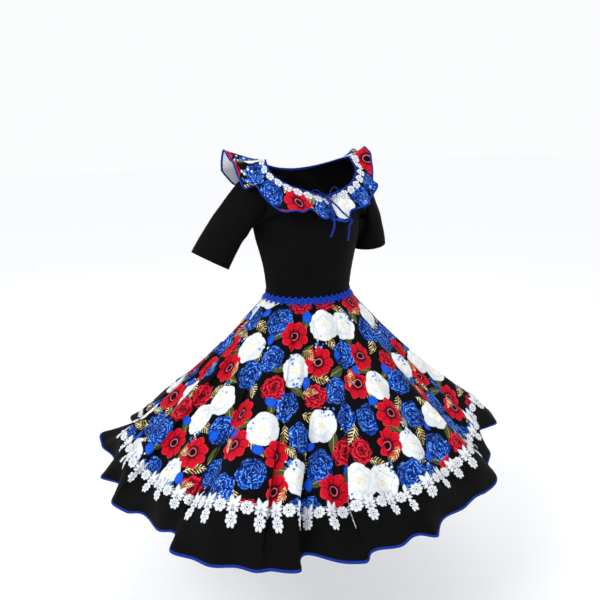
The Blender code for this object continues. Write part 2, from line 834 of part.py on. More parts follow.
def skirt_lace(surfaces):
    """The guipure edging over the skirt's seam: a band with leafy crowns above and a drop under each crown."""
    columns = surfaces[2].shape[1]
    points, faces = [], []

    def pair(column, below, off=LACE_LAID_ON):
        """Adds an outer and an inner point and returns the outer one's number."""
        place, normal = on_skirt(surfaces, column, below)
        points.append(place + normal * (off + LACE))
        points.append(place + normal * off)
        return len(points) - 2

    tops, seams, bottoms, drops = [], [], [], []
    for n in range(columns // 4):
        for offset, above, below in LACE_REPEAT:
            tops.append(pair(4 * n + offset, -above))
            seams.append(pair(4 * n + offset, 0.0))
            bottoms.append(pair(4 * n + offset, below))
        off = LACE_LAID_ON + DROP_LIFT
        drops.append([pair(4 * n + offset, below, off) for offset, below in LACE_DROP])

    def sheet(a, b, c, d):
        """A face a b c d seen from outside, and its match on the inside."""
        faces.extend([(a, d, b), (b, d, c), (a + 1, b + 1, d + 1), (b + 1, c + 1, d + 1)])

    def edge(a, b):
        """The cut edge between the outside and the inside from a to b."""
        faces.extend([(a, b, b + 1), (a, b + 1, a + 1)])

    total = len(tops)
    for i in range(total):
        j = (i + 1) % total
        sheet(tops[i], tops[j], seams[j], seams[i])
        sheet(seams[i], seams[j], bottoms[j], bottoms[i])
        edge(tops[i], tops[j])
        if i % 4 not in (1, 2):
            edge(bottoms[j], bottoms[i])
    for n, (left, tip, right) in enumerate(drops):
        root = [bottoms[4 * n + k] for k in (1, 2, 3)]
        sheet(root[0], root[1], tip, left)
        sheet(root[1], root[2], right, tip)
        for a, b in ((root[2], right), (right, tip), (tip, left), (left, root[0])):
            edge(a, b)
    add_object("skirt_lace", points, faces, "guipure")


def neck_ring(panels, values, row=0):
    """The neck edge's points, anticlockwise from above, starting at the middle of the back."""
    front = panels["front"].neck(values["front"], row)
    back = panels["back"].neck(values["back"], row)[::-1]
    return np.concatenate([back[NECK_SPANS:], front[1:], back[1:NECK_SPANS]])


def frill_surface(edge, shares):
    """The neck frill's underside, from the neck edge outwards, wavy at its free edge."""
    degrees = np.degrees(np.arctan2(edge[:, 0] / NECK_HALF_WIDTH, -edge[:, 1] / WAIST_FRONT))
    row = round_table(FRILL, degrees)
    out, width = unit(row[:, :3]), row[:, 3:4]
    along = unit(np.roll(edge, -1, axis=0) - np.roll(edge, 1, axis=0))
    up = unit(np.cross(out, along))
    wave = round_table(FRILL_WAVES, degrees)
    root = edge + up * FRILL_LIFT + out * FRILL_ROOT
    return np.array([root + out * width * s + up * width * wave * s**1.4 for s in shares])


def clear_of_body(points, surface, margin):
    """The points, with each one that is nearer to the surface than margin moved off it."""
    flat = points.reshape(-1, 3).copy()
    for n, place in enumerate(flat):
        near, normal, _, _ = surface.find_nearest(Vector(place))
        off = (Vector(place) - near).dot(normal)
        if off < margin and (Vector(place) - near).length < CLEAR_REACH:
            flat[n] += np.array(normal) * (margin - off)
    return flat.reshape(points.shape)


def nearest(surfaces):
    """One surface for finding what lies nearest, from pairs of points and triangles."""
    points, faces = [], []
    for spots, triangles in surfaces:
        faces += (triangles + len(points)).tolist()
        points += spots.tolist()
    return BVHTree.FromPolygons(points, faces)


def neck_binding(panels, inside):
    """The blue binding on the neck edge, in line with the bodice's wall."""
    outside = {side: panel.outer for side, panel in panels.items()}
    top, top_inside = neck_ring(panels, outside), neck_ring(panels, inside)
    below = (neck_ring(panels, outside, 1) + neck_ring(panels, inside, 1)) / 2
    edge = (top + top_inside) / 2
    out = unit(top - top_inside)
    rise = unit(edge - below)
    rise = unit(rise - out * (rise * out).sum(axis=-1, keepdims=True))
    edge, out, rise = finer(edge, 2), unit(finer(out, 2)), unit(finer(rise, 2))
    base = edge + rise * NECK_BINDING_GAP
    rows = np.array([base + rise * NECK_BINDING_HEIGHT, base])
    wall("neck_binding", rows + out * BINDING / 2, rows - out * BINDING / 2, "blue_bias", closed=True)


def neck_frill(panels, worn):
    """The print frill in a front and a back piece, its blue binding, the neck binding and the neck lace."""
    outside = {side: panel.outer for side, panel in panels.items()}
    edge = finer(neck_ring(panels, outside), FRILL_PER_SPAN)
    grid = frill_surface(edge, FRILL_SHARES)
    for row in range(1, len(grid)):
        grid[row] = clear_of_body(grid[row], worn, FRILL_CLEAR)
    out = grid_normals(grid, True)
    outer = grid + out * CLOTH
    two_halves("frill", outer, grid, "print")
    fall = unit(grid[-1] - grid[-2])
    middle = (outer[-1] + grid[-1]) / 2 + fall * BINDING_GAP
    half = out[-1] * BINDING / 2
    rows = np.array([middle, middle + fall * FRILL_BINDING_HEIGHT])
    wall("frill_binding", rows + half, rows - half, "blue_bias", closed=True)
    ripple = NECK_LACE_RIPPLE * (np.arange(len(edge)) % 2)[:, None]
    down = unit(outer[1] - outer[0])
    upper = outer[0] + down * (NECK_LACE_RIPPLE - ripple) + out[0] * LAID_ON
    lower = outer[0] + down * (NECK_LACE_HEIGHT + ripple) + unit(out[0] + out[1]) * NECK_LACE_LIFT
    lace = np.array([upper, lower])
    wall("neck_lace", lace + out[0] * LACE, lace, "guipure", closed=True)
    return np.concatenate([outer, [outer[-1] + fall * 2 * FRILL_BINDING_HEIGHT]])


def waist_braid():
    """The blue guipure braid round the waist, over the seam between bodice and skirt."""
    columns = BRAID_FLOWERS * 2
    degrees = skirt_angles(columns)
    front = np.cos(np.radians(degrees)) > 0
    ripple = BRAID_RIPPLE * (np.arange(columns) % 2)
    rows = []
    for side, flare in ((1, 0.0), (0, 0.0), (-1, BRAID_FLARE)):
        half_width = WAIST_HALF_WIDTH + BRAID_SPREAD + flare
        half_depth = np.where(front, WAIST_FRONT, WAIST_BACK) + BRAID_SPREAD + flare
        height = WAIST_Z + side * (BRAID_HEIGHT / 2 + ripple)
        rows.append(ring_point(degrees, (0.0, 0.0), half_width, half_depth, height))
    grid = np.array(rows)
    wall("waist_braid", grid + grid_normals(grid, True) * LACE, grid, "blue_bias", closed=True)


def ribbon(name, route, across):
    """A flat ribbon along a route. across is the way over its width."""
    along = unit(np.gradient(route, axis=0))
    across = np.broadcast_to(np.asarray(across, float), route.shape)
    across = unit(across - along * (across * along).sum(axis=-1, keepdims=True))
    out = np.cross(across, along)
    sides = np.stack([route + across * RIBBON_WIDTH / 2, route - across * RIBBON_WIDTH / 2])
    wall(name, sides + out * RIBBON / 2, sides - out * RIBBON / 2, "blue_ribbon")


def bow(panels, frill):
    """The ribbon tie at the middle of the neck: a knot, two loops and two tails with free ends."""
    edge = panels["front"].outer[panels["front"].halves[1][SIDE_SPANS, 0]]
    fall = unit(np.array(BOW_FALL))
    up = np.array([0.0, fall[2], -fall[1]])
    rise = -fall
    centre = edge + up * (KNOT_OUT + KNOT_HALF[1]) - rise * KNOT_BELOW
    sphere = bmesh.new()
    bmesh.ops.create_uvsphere(sphere, u_segments=8, v_segments=6, radius=1.0)
    side = np.array([1.0, 0.0, 0.0])
    axes = np.array([side * KNOT_HALF[0], up * KNOT_HALF[1], rise * KNOT_HALF[2]])
    points = []
    for vertex in sphere.verts:
        spot = np.array(vertex.co)
        spot[1] *= 1.0 if spot[1] > 0 else KNOT_UNDER
        points.append(centre + spot @ axes)
    faces = [[v.index for v in f.verts] for f in sphere.faces]
    sphere.free()
    add_object("bow_knot", points, faces, "blue_ribbon")
    for name, rows in BOW_LOOPS.items():
        route = np.array([centre + side * x + rise * r for x, r in rows])
        ribbon(name, through(route, np.linspace(0, 1, LOOP_SPANS + 1)), up)
    over = nearest([grid_triangles(frill)])
    for name, (across, (x, down), rows) in BOW_TAILS.items():
        start = centre + side * x + fall * down
        route = through([start, *rows], np.linspace(0, 1, TAIL_SPANS + 1))
        route[1:] = clear_of_body(route[1:], over, TAIL_CLEAR)
        ribbon(name, route, across)


def main():
    clear_scene()
    panels, inner, sleeves = body()
    torso = [(panel.outer, panel.triangles) for panel in panels.values()]
    arms = [grid_triangles(sleeve) for sleeve in sleeves.values()]
    worn = nearest(torso + arms)
    surfaces = skirt_and_flounce()
    skirt_lace(surfaces)
    neck_binding(panels, inner)
    frill = neck_frill(panels, worn)
    waist_braid()
    bow(panels, frill)


main()
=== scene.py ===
"""A huasa dress, finished: black crepe bodice with elbow sleeves, a print frill bound in blue, a flared
print skirt, white guipure edging, a black flounce, blue braid at the waist and a ribbon bow.

Units are metres. +Z is up, -Y is the wearer's front and +X the wearer's left. Each piece of cloth is a
thin closed wall on the form of the solid that it stands for.
"""

import logging
import math
from dataclasses import dataclass, field
from enum import Enum
from typing import Any, Sequence

import bpy
import numpy as np
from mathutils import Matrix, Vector
from mathutils.bvhtree import BVHTree


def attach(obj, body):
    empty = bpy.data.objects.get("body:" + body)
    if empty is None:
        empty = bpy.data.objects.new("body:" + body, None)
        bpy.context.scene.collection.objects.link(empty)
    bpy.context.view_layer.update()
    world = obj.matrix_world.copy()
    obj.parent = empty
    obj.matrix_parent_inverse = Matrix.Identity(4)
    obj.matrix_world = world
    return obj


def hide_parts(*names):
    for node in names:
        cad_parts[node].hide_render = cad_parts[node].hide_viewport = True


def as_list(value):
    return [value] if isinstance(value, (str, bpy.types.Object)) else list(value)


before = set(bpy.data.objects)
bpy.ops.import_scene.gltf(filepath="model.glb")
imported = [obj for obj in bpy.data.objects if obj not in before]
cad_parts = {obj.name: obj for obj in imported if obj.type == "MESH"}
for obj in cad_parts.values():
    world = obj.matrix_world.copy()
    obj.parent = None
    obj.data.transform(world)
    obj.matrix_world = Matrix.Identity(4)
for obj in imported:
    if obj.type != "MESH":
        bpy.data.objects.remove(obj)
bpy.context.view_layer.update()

Array = np.ndarray
Finish = bpy.types.Material
Piece = bpy.types.Object
Socket = bpy.types.NodeSocket

log = logging.getLogger("dress")

ROOT = "root"
CUT_MAP = "cut"
# The height of a lace's pads, read by its finish to paint shade on its low parts.
RAISED = "raised"
SHARP_DEGREES = 50.0
# Half of the solids' cloth wall, and how far creased cloth starts under the solid's face.
HALF_WALL = 0.00075
SET_BACK = 0.0006
# How far a binding's fold starts past the cloth's edge, and how far the cloth reaches into the binding.
EDGE_GAP = 0.0008
TUCK = 0.002


class Face(Enum):
    """The two faces of the garment."""

    FRONT = "front"
    BACK = "back"


class Weave(Enum):
    """How the threads of a cloth cross."""

    CREPE = "crepe"
    PLAIN = "plain"
    SATIN = "satin"


# Forms, given. Lengths are in metres.
UNDERARM = (0.170, 0.0, -0.178)
SHOULDER_TIP = (0.180, 0.0, -0.028)
NECK_HALF_WIDTH = 0.133

CENTRE_LINES: dict[Face, Sequence[tuple]] = {
    # panel: rows of (y, z) up the middle of the panel, waist to neck
    Face.FRONT: (
        (-0.1, -0.382), (-0.106, -0.32), (-0.118, -0.25), (-0.125, -0.19), (-0.121, -0.14), (-0.11, -0.096)
    ),
    Face.BACK: (
        (0.09, -0.382), (0.09, -0.32), (0.097, -0.24), (0.105, -0.16), (0.106, -0.1), (0.098, -0.04)
    ),
}

SIDE_SEAM: Sequence[tuple] = (
    # x, y, z up the side, waist to underarm
    (0.126, 0, -0.382), (0.133, 0, -0.33), (0.149, 0, -0.26), (0.163, 0, -0.212),
    UNDERARM,
)

ARMHOLES: dict[Face, Sequence[tuple]] = {
    # panel: rows of (x, y, z), underarm to shoulder tip
    Face.FRONT: (
        UNDERARM,
        (0.164, -0.04, -0.158), (0.152, -0.06, -0.11), (0.158, -0.052, -0.065),
        SHOULDER_TIP,
    ),
    Face.BACK: (
        UNDERARM,
        (0.165, 0.042, -0.155), (0.159, 0.064, -0.11), (0.165, 0.055, -0.062),
        SHOULDER_TIP,
    ),
}

NECKLINES: dict[Face, Sequence[tuple]] = {
    # panel: rows of (x, y, z), middle of the panel to the shoulder
    Face.FRONT: (
        (0, -0.112, -0.092), (0.055, -0.104, -0.079), (0.107, -0.075, -0.057), (0.135, -0.035, -0.028),
        (NECK_HALF_WIDTH, 0, 0),
    ),
    Face.BACK: (
        (0, 0.098, -0.04), (0.05, 0.093, -0.035), (0.094, 0.073, -0.023), (0.122, 0.038, -0.009),
        (NECK_HALF_WIDTH, 0, 0),
    ),
}

BODICE_PULLS: Sequence[tuple] = (
    # x and z of the pull's middle, its tilt, length, spacing and depth
    (-0.12, -0.2, 0.7, 0.045, 0.026, 0.0011), (0.118, -0.192, -0.6, 0.05, 0.024, 0.001),
    (-0.085, -0.33, -0.35, 0.05, 0.022, 0.0009), (0.07, -0.345, 0.3, 0.06, 0.02, 0.001),
)

SKIRT_FOLDS: Sequence[tuple] = (
    # degrees round from the front, metres out and up from the ring at the lace: ridges and valleys in turn
    (-176, 0.018, 0), (-163, -0.022, 0), (-151, 0.012, -0.004), (-139, -0.028, -0.004),
    (-129, -0.004, -0.008), (-117, -0.03, -0.004), (-105, 0.008, 0), (-97, -0.022, 0.002),
    (-87, 0.008, 0.008), (-76, -0.026, 0.004), (-64, 0.006, 0), (-56, -0.008, 0), (-46, 0.036, 0),
    (-39, 0.04, 0), (-34, 0.016, 0), (-28, 0.034, 0), (-24, -0.022, 0), (-19, 0.006, 0), (-15, -0.014, 0),
    (-9, 0.012, 0.002), (-5, 0.004, 0.002), (2, -0.022, 0), (12, 0.01, 0.006), (22, -0.024, 0.008),
    (33, 0.006, 0.004), (46, -0.024, 0), (57, 0.004, -0.01), (63, -0.01, -0.01), (72, 0.034, -0.012),
    (80, 0.024, -0.006), (93, -0.02, 0), (106, 0.022, 0), (119, -0.022, 0), (132, 0.022, 0),
    (145, -0.024, 0), (158, 0.02, 0), (171, -0.018, 0),
)

SKIRT_CREASES: Sequence[tuple] = (
    # degrees round at the lace, degrees that it moves round towards the waist, how late it moves, metres
    # deep, and which side of it lies over the other: -1 for the lower degrees and 1 for the higher
    (-168, 3, 1.5, 0.01, -1), (-146, -4, 1.5, 0.012, 1), (-124, 3, 1.5, 0.01, -1),
    (-101, -3, 1.5, 0.011, 1), (-82, -1, 1.5, 0.013, -1), (-57, 3, 1.5, 0.011, -1),
    (-34, -1, 1.1, 0.016, -1), (-26, 12, 1.2, 0.015, -1), (-12, 24, 1.5, 0.018, 1),
    (5, 9, 2.5, 0.014, -1), (27, 20, 2, 0.011, -1), (45, 14, 0.65, 0.014, -1), (64, -1, 1.5, 0.01, 1),
    (101, 3, 1.5, 0.012, -1), (119, -3, 1.5, 0.01, 1), (145, 3, 1.5, 0.012, -1), (171, -3, 1.5, 0.01, 1),
)

FLOUNCE_WAVES: Sequence[tuple] = (
    # degrees round from the front, metres out and up from the hem ring, degrees moved along
    (-177, 0.026, 0.004, 0), (-170, -0.03, 0, -1), (-163, 0.022, 0.004, 0.5), (-156, -0.026, 0, 0),
    (-149, 0.03, 0.006, 1.5), (-143, -0.028, 0, -1.5), (-135, 0.024, 0.004, 0),
    (-127, -0.028, 0.002, -0.5), (-117, 0.04, 0.034, 1), (-110, 0.024, 0.026, 0), (-106, -0.03, 0.01, -1),
    (-98, 0.02, 0, 0.5), (-91, -0.034, 0, -1), (-83, 0.012, 0, 0), (-78, 0.004, 0, 1),
    (-72, -0.036, 0.004, -1), (-65, -0.006, -0.004, 0.5), (-60, -0.036, 0.002, -0.5), (-54, 0.046, 0, -1),
    (-50, 0.028, 0, 0), (-45, 0.048, -0.002, 0), (-40, 0.028, 0, 0), (-36, 0.048, 0.002, 0),
    (-33, 0.03, 0, 1), (-29, 0.05, 0.002, 3.4), (-26, 0.004, 0.002, -0.8), (-23, -0.038, 0.002, -2),
    (-18, 0.018, 0, 0.5), (-13, 0.026, -0.002, 0.5), (-8, -0.014, 0.004, -1), (-3, 0.014, 0, 1),
    (1, -0.028, 0.002, 0), (6, 0.014, 0, 0.5), (13, -0.036, 0, 0), (20, -0.012, 0.004, 0.5),
    (24, -0.026, 0.002, 0), (35, 0.004, -0.002, 0.5), (44, -0.036, 0, 0), (50, -0.03, 0.004, 0),
    (56, -0.06, 0.002, 0), (64, -0.05, 0.002, 1), (72, 0.034, 0.008, -1.5), (80, 0.024, 0.008, 0),
    (90, -0.026, 0, 0), (99, 0.026, 0.004, 0), (106, -0.028, 0, -1), (114, 0.026, 0.004, 0.5),
    (122, -0.024, 0, 0), (129, 0.03, 0.006, 1), (136, -0.03, 0, -1), (144, 0.022, 0.004, 0),
    (152, -0.028, 0, 0), (160, 0.03, 0.006, 1), (167, -0.026, 0, -1), (175, 0.012, 0.002, 0),
)

FRILL_FALL: Sequence[tuple] = (
    # degrees round from the front, way out x y z, width
    (-180, 0, 0.55, -0.84, 0.085), (-145, -0.42, 0.52, -0.6, 0.09), (-124, -0.72, 0.46, -0.52, 0.104),
    (-112, -0.89, 0.3, -0.3, 0.11), (-98, -0.93, 0.14, 0.1, 0.107), (-89, -0.93, -0.22, -0.1, 0.096),
    (-79, -0.73, -0.3, -0.61, 0.095), (-70, -0.74, -0.44, -0.5, 0.062), (-61, -0.48, -0.52, -0.7, 0.078),
    (-46, -0.3, -0.55, -0.78, 0.09), (-32, -0.18, -0.6, -0.78, 0.072), (-20, -0.1, -0.62, -0.76, 0.044),
    (-11, -0.1, -0.46, -0.88, 0.074), (-2, 0.02, -0.44, -0.9, 0.054), (8, 0.08, -0.38, -0.92, 0.08),
    (21, 0.26, -0.38, -0.88, 0.054), (32, 0.4, -0.38, -0.83, 0.066), (50, 0.58, -0.34, -0.72, 0.06),
    (72, 0.66, -0.36, -0.62, 0.055), (84, 0.82, -0.2, -0.28, 0.051), (95, 0.72, 0.1, 0.22, 0.06),
    (115, 0.76, 0.42, -0.05, 0.088), (145, 0.42, 0.55, -0.65, 0.088),
)

FRILL_WAVES: Sequence[tuple] = (
    # degrees round from the front, share of the width that the edge stands out
    (-173, 0.42), (-158, -0.02), (-144, 0.4), (-131, 0), (-116, 0.16), (-106, 0.02), (-96, 0.22),
    (-88, 0.06), (-79, 0.12), (-69, 0.1), (-58, 0.08), (-38, 0.24), (-20, -0.02), (-10, 0.42), (-1, 0),
    (8, 0.46), (20, 0), (32, 0.38), (45, 0.02), (58, 0.36), (72, 0.02), (88, 0.24), (104, 0.04),
    (117, 0.36), (129, 0), (143, 0.42), (157, 0), (170, 0.34), (178, 0.02),
)

BOW_LOOPS: dict[str, Sequence[tuple]] = {
    # loop: rows of (x, rise) in the plane of the bow, from the knot round and back to it
    "right": (
        (-0.0046, 0.002), (-0.018, 0.015), (-0.033, 0.024), (-0.044, 0.021), (-0.04, 0.015),
        (-0.021, 0.007), (-0.0044, -0.003),
    ),
    "left": (
        (0.0046, 0.002), (0.012, 0.019), (0.023, 0.029), (0.032, 0.025), (0.03, 0.011), (0.018, 0.001),
        (0.0044, -0.003),
    ),
}

BOW_TAILS: dict[str, tuple] = {
    # tail: way across the ribbon, where it leaves the knot (x, fall), rows of (x, y, z) to its free end
    "right": (
        (1, -0.15, 0), (-0.002, 0.005),
        ((-0.001, -0.15, -0.12), (-0.003, -0.163, -0.142), (-0.007, -0.172, -0.165), (-0.016, -0.17, -0.192)),
    ),
    "left": (
        (0.45, -1, 0), (0.0034, 0.0051),
        ((0.02, -0.151, -0.121), (0.033, -0.166, -0.146), (0.039, -0.171, -0.172), (0.04, -0.165, -0.206)),
    ),
}


def linear(colour: str) -> tuple[float, float, float, float]:
    """Turns an sRGB hex colour to linear light.

    Args:
        colour: six hex digits after a hash.

    Returns:
        Red, green, blue and an alpha of one.
    """
    parts = [int(colour[i : i + 2], 16) / 255 for i in (1, 3, 5)]
    lit = [p / 12.92 if p <= 0.04045 else ((p + 0.055) / 1.055) ** 2.4 for p in parts]
    return (lit[0], lit[1], lit[2], 1.0)


def unit(vectors: Any) -> Array:
    """Makes vectors along the last axis one metre long."""
    vectors = np.asarray(vectors, float)
    return vectors / np.maximum(np.linalg.norm(vectors, axis=-1, keepdims=True), 1e-12)


def weights(t: Any) -> tuple:
    """Gives the weights of a smooth line's start, its way there, its end and its way there."""
    return 2 * t**3 - 3 * t**2 + 1, t**3 - 2 * t**2 + t, 3 * t**2 - 2 * t**3, t**3 - t**2


def through(rows: Any, shares: Any) -> Array:
    """Reads a smooth curve through points.

    Args:
        rows: the points that it goes through.
        shares: where to read it, from 0 to 1 of its chord length.

    Returns:
        One point for each share.
    """
    rows = np.array(rows, float)
    steps = np.linalg.norm(np.diff(rows, axis=0), axis=1)
    knots = np.concatenate([[0.0], np.cumsum(steps)]) / steps.sum()
    tangents = np.gradient(rows, knots, axis=0)
    shares = np.clip(np.asarray(shares, float), 0.0, 1.0)
    low = np.clip(np.searchsorted(knots, shares, side="right") - 1, 0, len(knots) - 2)
    gap = (knots[low + 1] - knots[low])[:, None]
    a, b, c, d = weights((shares - knots[low])[:, None] / gap)
    return a * rows[low] + b * gap * tangents[low] + c * rows[low + 1] + d * gap * tangents[low + 1]


def round_table(rows: Any, degrees: Any) -> Array:
    """Reads a table round a full circle, easing between one row and the next.

    Args:
        rows: rows of (degrees, values...).
        degrees: where to read it.

    Returns:
        The values, one row for each angle.
    """
    rows = np.array(rows, float)
    angles = np.concatenate([rows[:, 0], [rows[0, 0] + 360.0]])
    values = np.concatenate([rows[:, 1:], rows[:1, 1:]])
    degrees = (np.asarray(degrees, float) - angles[0]) % 360.0 + angles[0]
    low = np.clip(np.searchsorted(angles, degrees, side="right") - 1, 0, len(angles) - 2)
    t = (degrees - angles[low]) / (angles[low + 1] - angles[low])
    ease = (1 - np.cos(math.pi * t))[..., None] / 2
    return values[low] * (1 - ease) + values[low + 1] * ease


def eased(rows: Array, times: int) -> Array:
    """Rounds the turns in a closed round of rows, by a mean of three neighbours taken many times.

    Args:
        rows: the rows, of which the last lies next to the first.
        times: how many times the mean is taken.

    Returns:
        The rounded rows.
    """
    for _ in range(times):
        rows = (np.roll(rows, 1, axis=0) + 2 * rows + np.roll(rows, -1, axis=0)) / 4
    return rows


def grid_normals(grid: Array, closed: bool) -> Array:
    """Finds unit normals of a grid of points.

    Args:
        grid: rows down the piece by columns anticlockwise seen from above.
        closed: whether the columns go all the way round.

    Returns:
        Normals, of the grid's shape.
    """
    if closed:
        along = np.roll(grid, -1, axis=1) - np.roll(grid, 1, axis=1)
    else:
        along = np.gradient(grid, axis=1)
    return unit(np.cross(np.gradient(grid, axis=0), along))


def point_normals(points: Array, quads: Array) -> Array:
    """Finds unit normals at points from the quads round each.

    Args:
        points: the points.
        quads: the outward quads.

    Returns:
        One normal for each point.
    """
    one, other = points[quads[:, 2]] - points[quads[:, 0]], points[quads[:, 3]] - points[quads[:, 1]]
    diagonal = np.cross(one, other)
    normals = np.zeros_like(points)
    for corner in range(4):
        np.add.at(normals, quads[:, corner], diagonal)
    return unit(normals)


def grid_quads(rows: int, columns: int, closed: bool, tube: bool = False) -> Array:
    """Numbers the outward quads of a grid of points.

    Args:
        rows: how many rows of points there are.
        columns: how many points there are in a row.
        closed: whether the columns go all the way round.
        tube: whether the rows do.

    Returns:
        The quads.
    """
    spots = np.arange(rows * columns).reshape(rows, columns)
    if tube:
        spots = np.concatenate([spots, spots[:1]])
    if closed:
        spots = np.concatenate([spots, spots[:, :1]], axis=1)
    upper, lower = spots[:-1], spots[1:]
    corners = (upper[:, :-1], lower[:, :-1], lower[:, 1:], upper[:, 1:])
    return np.stack([c.ravel() for c in corners], axis=-1)


def panels_of(columns: int) -> dict[Face, Array]:
    """Numbers the columns of the front and the back panel in a ring that starts at the middle back.

    Args:
        columns: how many columns the ring has.

    Returns:
        The columns of each panel.
    """
    quarter = columns // 4
    front = np.arange(quarter, 3 * quarter + 1)
    back = np.arange(3 * quarter, 5 * quarter + 1) % columns
    return {Face.FRONT: front, Face.BACK: back}


def level_ring(degrees: Array, centre: Sequence[float], width: Any, depth: Any, height: float) -> Array:
    """Points of a level oval ring round the wearer.

    Args:
        degrees: where they are, from the front.
        centre: x and y of its middle.
        width: half its width.
        depth: half its depth.
        height: how high it lies.

    Returns:
        One point for each angle.
    """
    turn = np.radians(degrees)
    x = centre[0] + width * np.sin(turn)
    y = centre[1] - depth * np.cos(turn)
    return np.stack([x, y, np.full_like(turn, height)], axis=-1)


def lengths_along(points: Array) -> Array:
    """Measures how far each point lies along its line."""
    return np.concatenate([[0.0], np.cumsum(np.linalg.norm(np.diff(points, axis=0), axis=-1))])


def read_grid(grid: Array, rows: Array, columns: Array) -> Array:
    """Reads a closed grid between its points.

    Args:
        grid: the values, rows by columns, closed round the columns.
        rows: row places, which may have fractions.
        columns: column places, which may have fractions.

    Returns:
        One value for each place.
    """
    top = np.clip(np.floor(rows).astype(int), 0, grid.shape[0] - 2)
    low = np.floor(columns).astype(int)
    t = (rows - top)[:, None]
    s = (columns - low)[:, None]
    a, b = low % grid.shape[1], (low + 1) % grid.shape[1]
    upper = grid[top, a] * (1 - s) + grid[top, b] * s
    lower = grid[top + 1, a] * (1 - s) + grid[top + 1, b] * s
    return upper * (1 - t) + lower * t


def linked(name: str, data: Any) -> Piece:
    """Puts a mesh, a lamp or a camera in the scene as an object.

    Args:
        name: its name.
        data: the mesh, the lamp or the camera.

    Returns:
        The object.
    """
    made = bpy.data.objects.new(name, data)
    bpy.context.scene.collection.objects.link(made)
    return made


def add_piece(
    name: str,
    points: Array,
    faces: Any,
    finishes: Sequence[Finish],
    slots: Array | None = None,
    cut: Array | None = None,
) -> Piece:
    """Adds a piece that rides with the dress.

    Args:
        name: the piece's name.
        points: its points, in metres.
        faces: its faces, as rows of point numbers.
        finishes: its materials.
        slots: which material each face takes.
        cut: where each point lies on the flat cloth, in metres.

    Returns:
        The piece.
    """
    mesh = bpy.data.meshes.new(name)
    mesh.from_pydata(points.tolist(), [], faces.tolist() if isinstance(faces, np.ndarray) else faces)
    for finish in finishes:
        mesh.materials.append(finish)
    if slots is not None:
        mesh.polygons.foreach_set("material_index", slots.astype(np.int32))
    if cut is not None:
        flat = mesh.attributes.new(CUT_MAP, "FLOAT_VECTOR", "POINT")
        flat.data.foreach_set("vector", cut.astype(np.float32).ravel())
    mesh.shade_smooth()
    mesh.set_sharp_from_angle(angle=math.radians(SHARP_DEGREES))
    piece = linked(name, mesh)
    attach(piece, ROOT)
    return piece


def cloth_wall(
    name: str, outer: Array, inner: Array, quads: Array, finishes: Sequence[Finish], cut: Array | None = None
) -> Piece:
    """Closes a cloth wall between an outer and an inner skin that share their quads.

    Args:
        name: the piece's name.
        outer: the outer points, in one row or in a grid.
        inner: the inner points, one under each outer one.
        quads: the outward quads.
        finishes: the right side's material, and the wrong side's where it differs.
        cut: where each outer point lies on the flat cloth.

    Returns:
        The piece.
    """
    outer, inner = outer.reshape(-1, 3), inner.reshape(-1, 3)
    count = len(outer)
    sides = np.concatenate([quads[:, [k, (k + 1) % 4]] for k in range(4)])
    ahead = sides[:, 0] * count + sides[:, 1]
    back = sides[:, 1] * count + sides[:, 0]
    rim = sides[~np.isin(back, ahead)]
    rims = np.stack([rim[:, 1], rim[:, 0], rim[:, 0] + count, rim[:, 1] + count], axis=-1)
    faces = np.concatenate([quads, quads[:, ::-1] + count, rims])
    slots = np.zeros(len(faces))
    slots[len(quads) : 2 * len(quads)] = len(finishes) - 1
    flat = None if cut is None else np.concatenate([cut.reshape(-1, 3)] * 2)
    return add_piece(name, np.concatenate([outer, inner]), faces, finishes, slots, flat)


def swept_ring(
    name: str, centre: Array, out: Array, fall: Array, profile: Any, finish: Finish, closed: bool = True
) -> Piece:
    """Sweeps a closed profile along a line of points.

    Args:
        name: the piece's name.
        centre: the points that it follows.
        out: the way out of the cloth at each.
        fall: the way down the cloth at each.
        profile: rows of (down, out), clockwise seen along the line.
        finish: its material.
        closed: whether the line comes back to its start.

    Returns:
        The piece.
    """
    rows = np.array([centre + fall * down + out * off for down, off in profile])
    count, columns = rows.shape[:2]
    faces = grid_quads(count, columns, closed, tube=True).tolist()
    if not closed:
        start = [row * columns for row in range(count)]
        faces += [start[::-1], [spot + columns - 1 for spot in start]]
    return add_piece(name, rows.reshape(-1, 3), faces, [finish])


def tree_with(name: str, inputs: dict[str, str]) -> tuple[bpy.types.NodeTree, Any, Any]:
    """Starts a geometry tree.

    Args:
        name: the tree's name.
        inputs: the socket type of each named input after the geometry.

    Returns:
        The tree, its input node and its output node.
    """
    tree = bpy.data.node_groups.new(name, "GeometryNodeTree")
    tree.interface.new_socket("Geometry", in_out="INPUT", socket_type="NodeSocketGeometry")
    for label, kind in inputs.items():
        tree.interface.new_socket(label, in_out="INPUT", socket_type=kind)
    tree.interface.new_socket("Geometry", in_out="OUTPUT", socket_type="NodeSocketGeometry")
    return tree, tree.nodes.new("NodeGroupInput"), tree.nodes.new("NodeGroupOutput")


def node(tree: bpy.types.NodeTree, kind: str, *values: Any, out: int | str = 0, **settings: Any) -> Socket:
    """Adds a node with its settings and links.

    Args:
        tree: the tree that it goes in.
        kind: the node's type.
        values: what its inputs take in order, each a socket, a value, None to leave it, or a dict of
            inputs by number or name.
        out: which output to return.
        settings: the node's own properties.

    Returns:
        The chosen output.
    """
    made = tree.nodes.new(kind)
    for key, value in settings.items():
        setattr(made, key, value)
    wanted: dict[Any, Any] = {}
    for n, value in enumerate(values):
        wanted.update(value if isinstance(value, dict) else {n: value})
    for key, value in wanted.items():
        if isinstance(value, bpy.types.NodeSocket):
            tree.links.new(value, made.inputs[key])
        elif value is not None:
            made.inputs[key].default_value = value
    return made.outputs[out] if len(made.outputs) else made


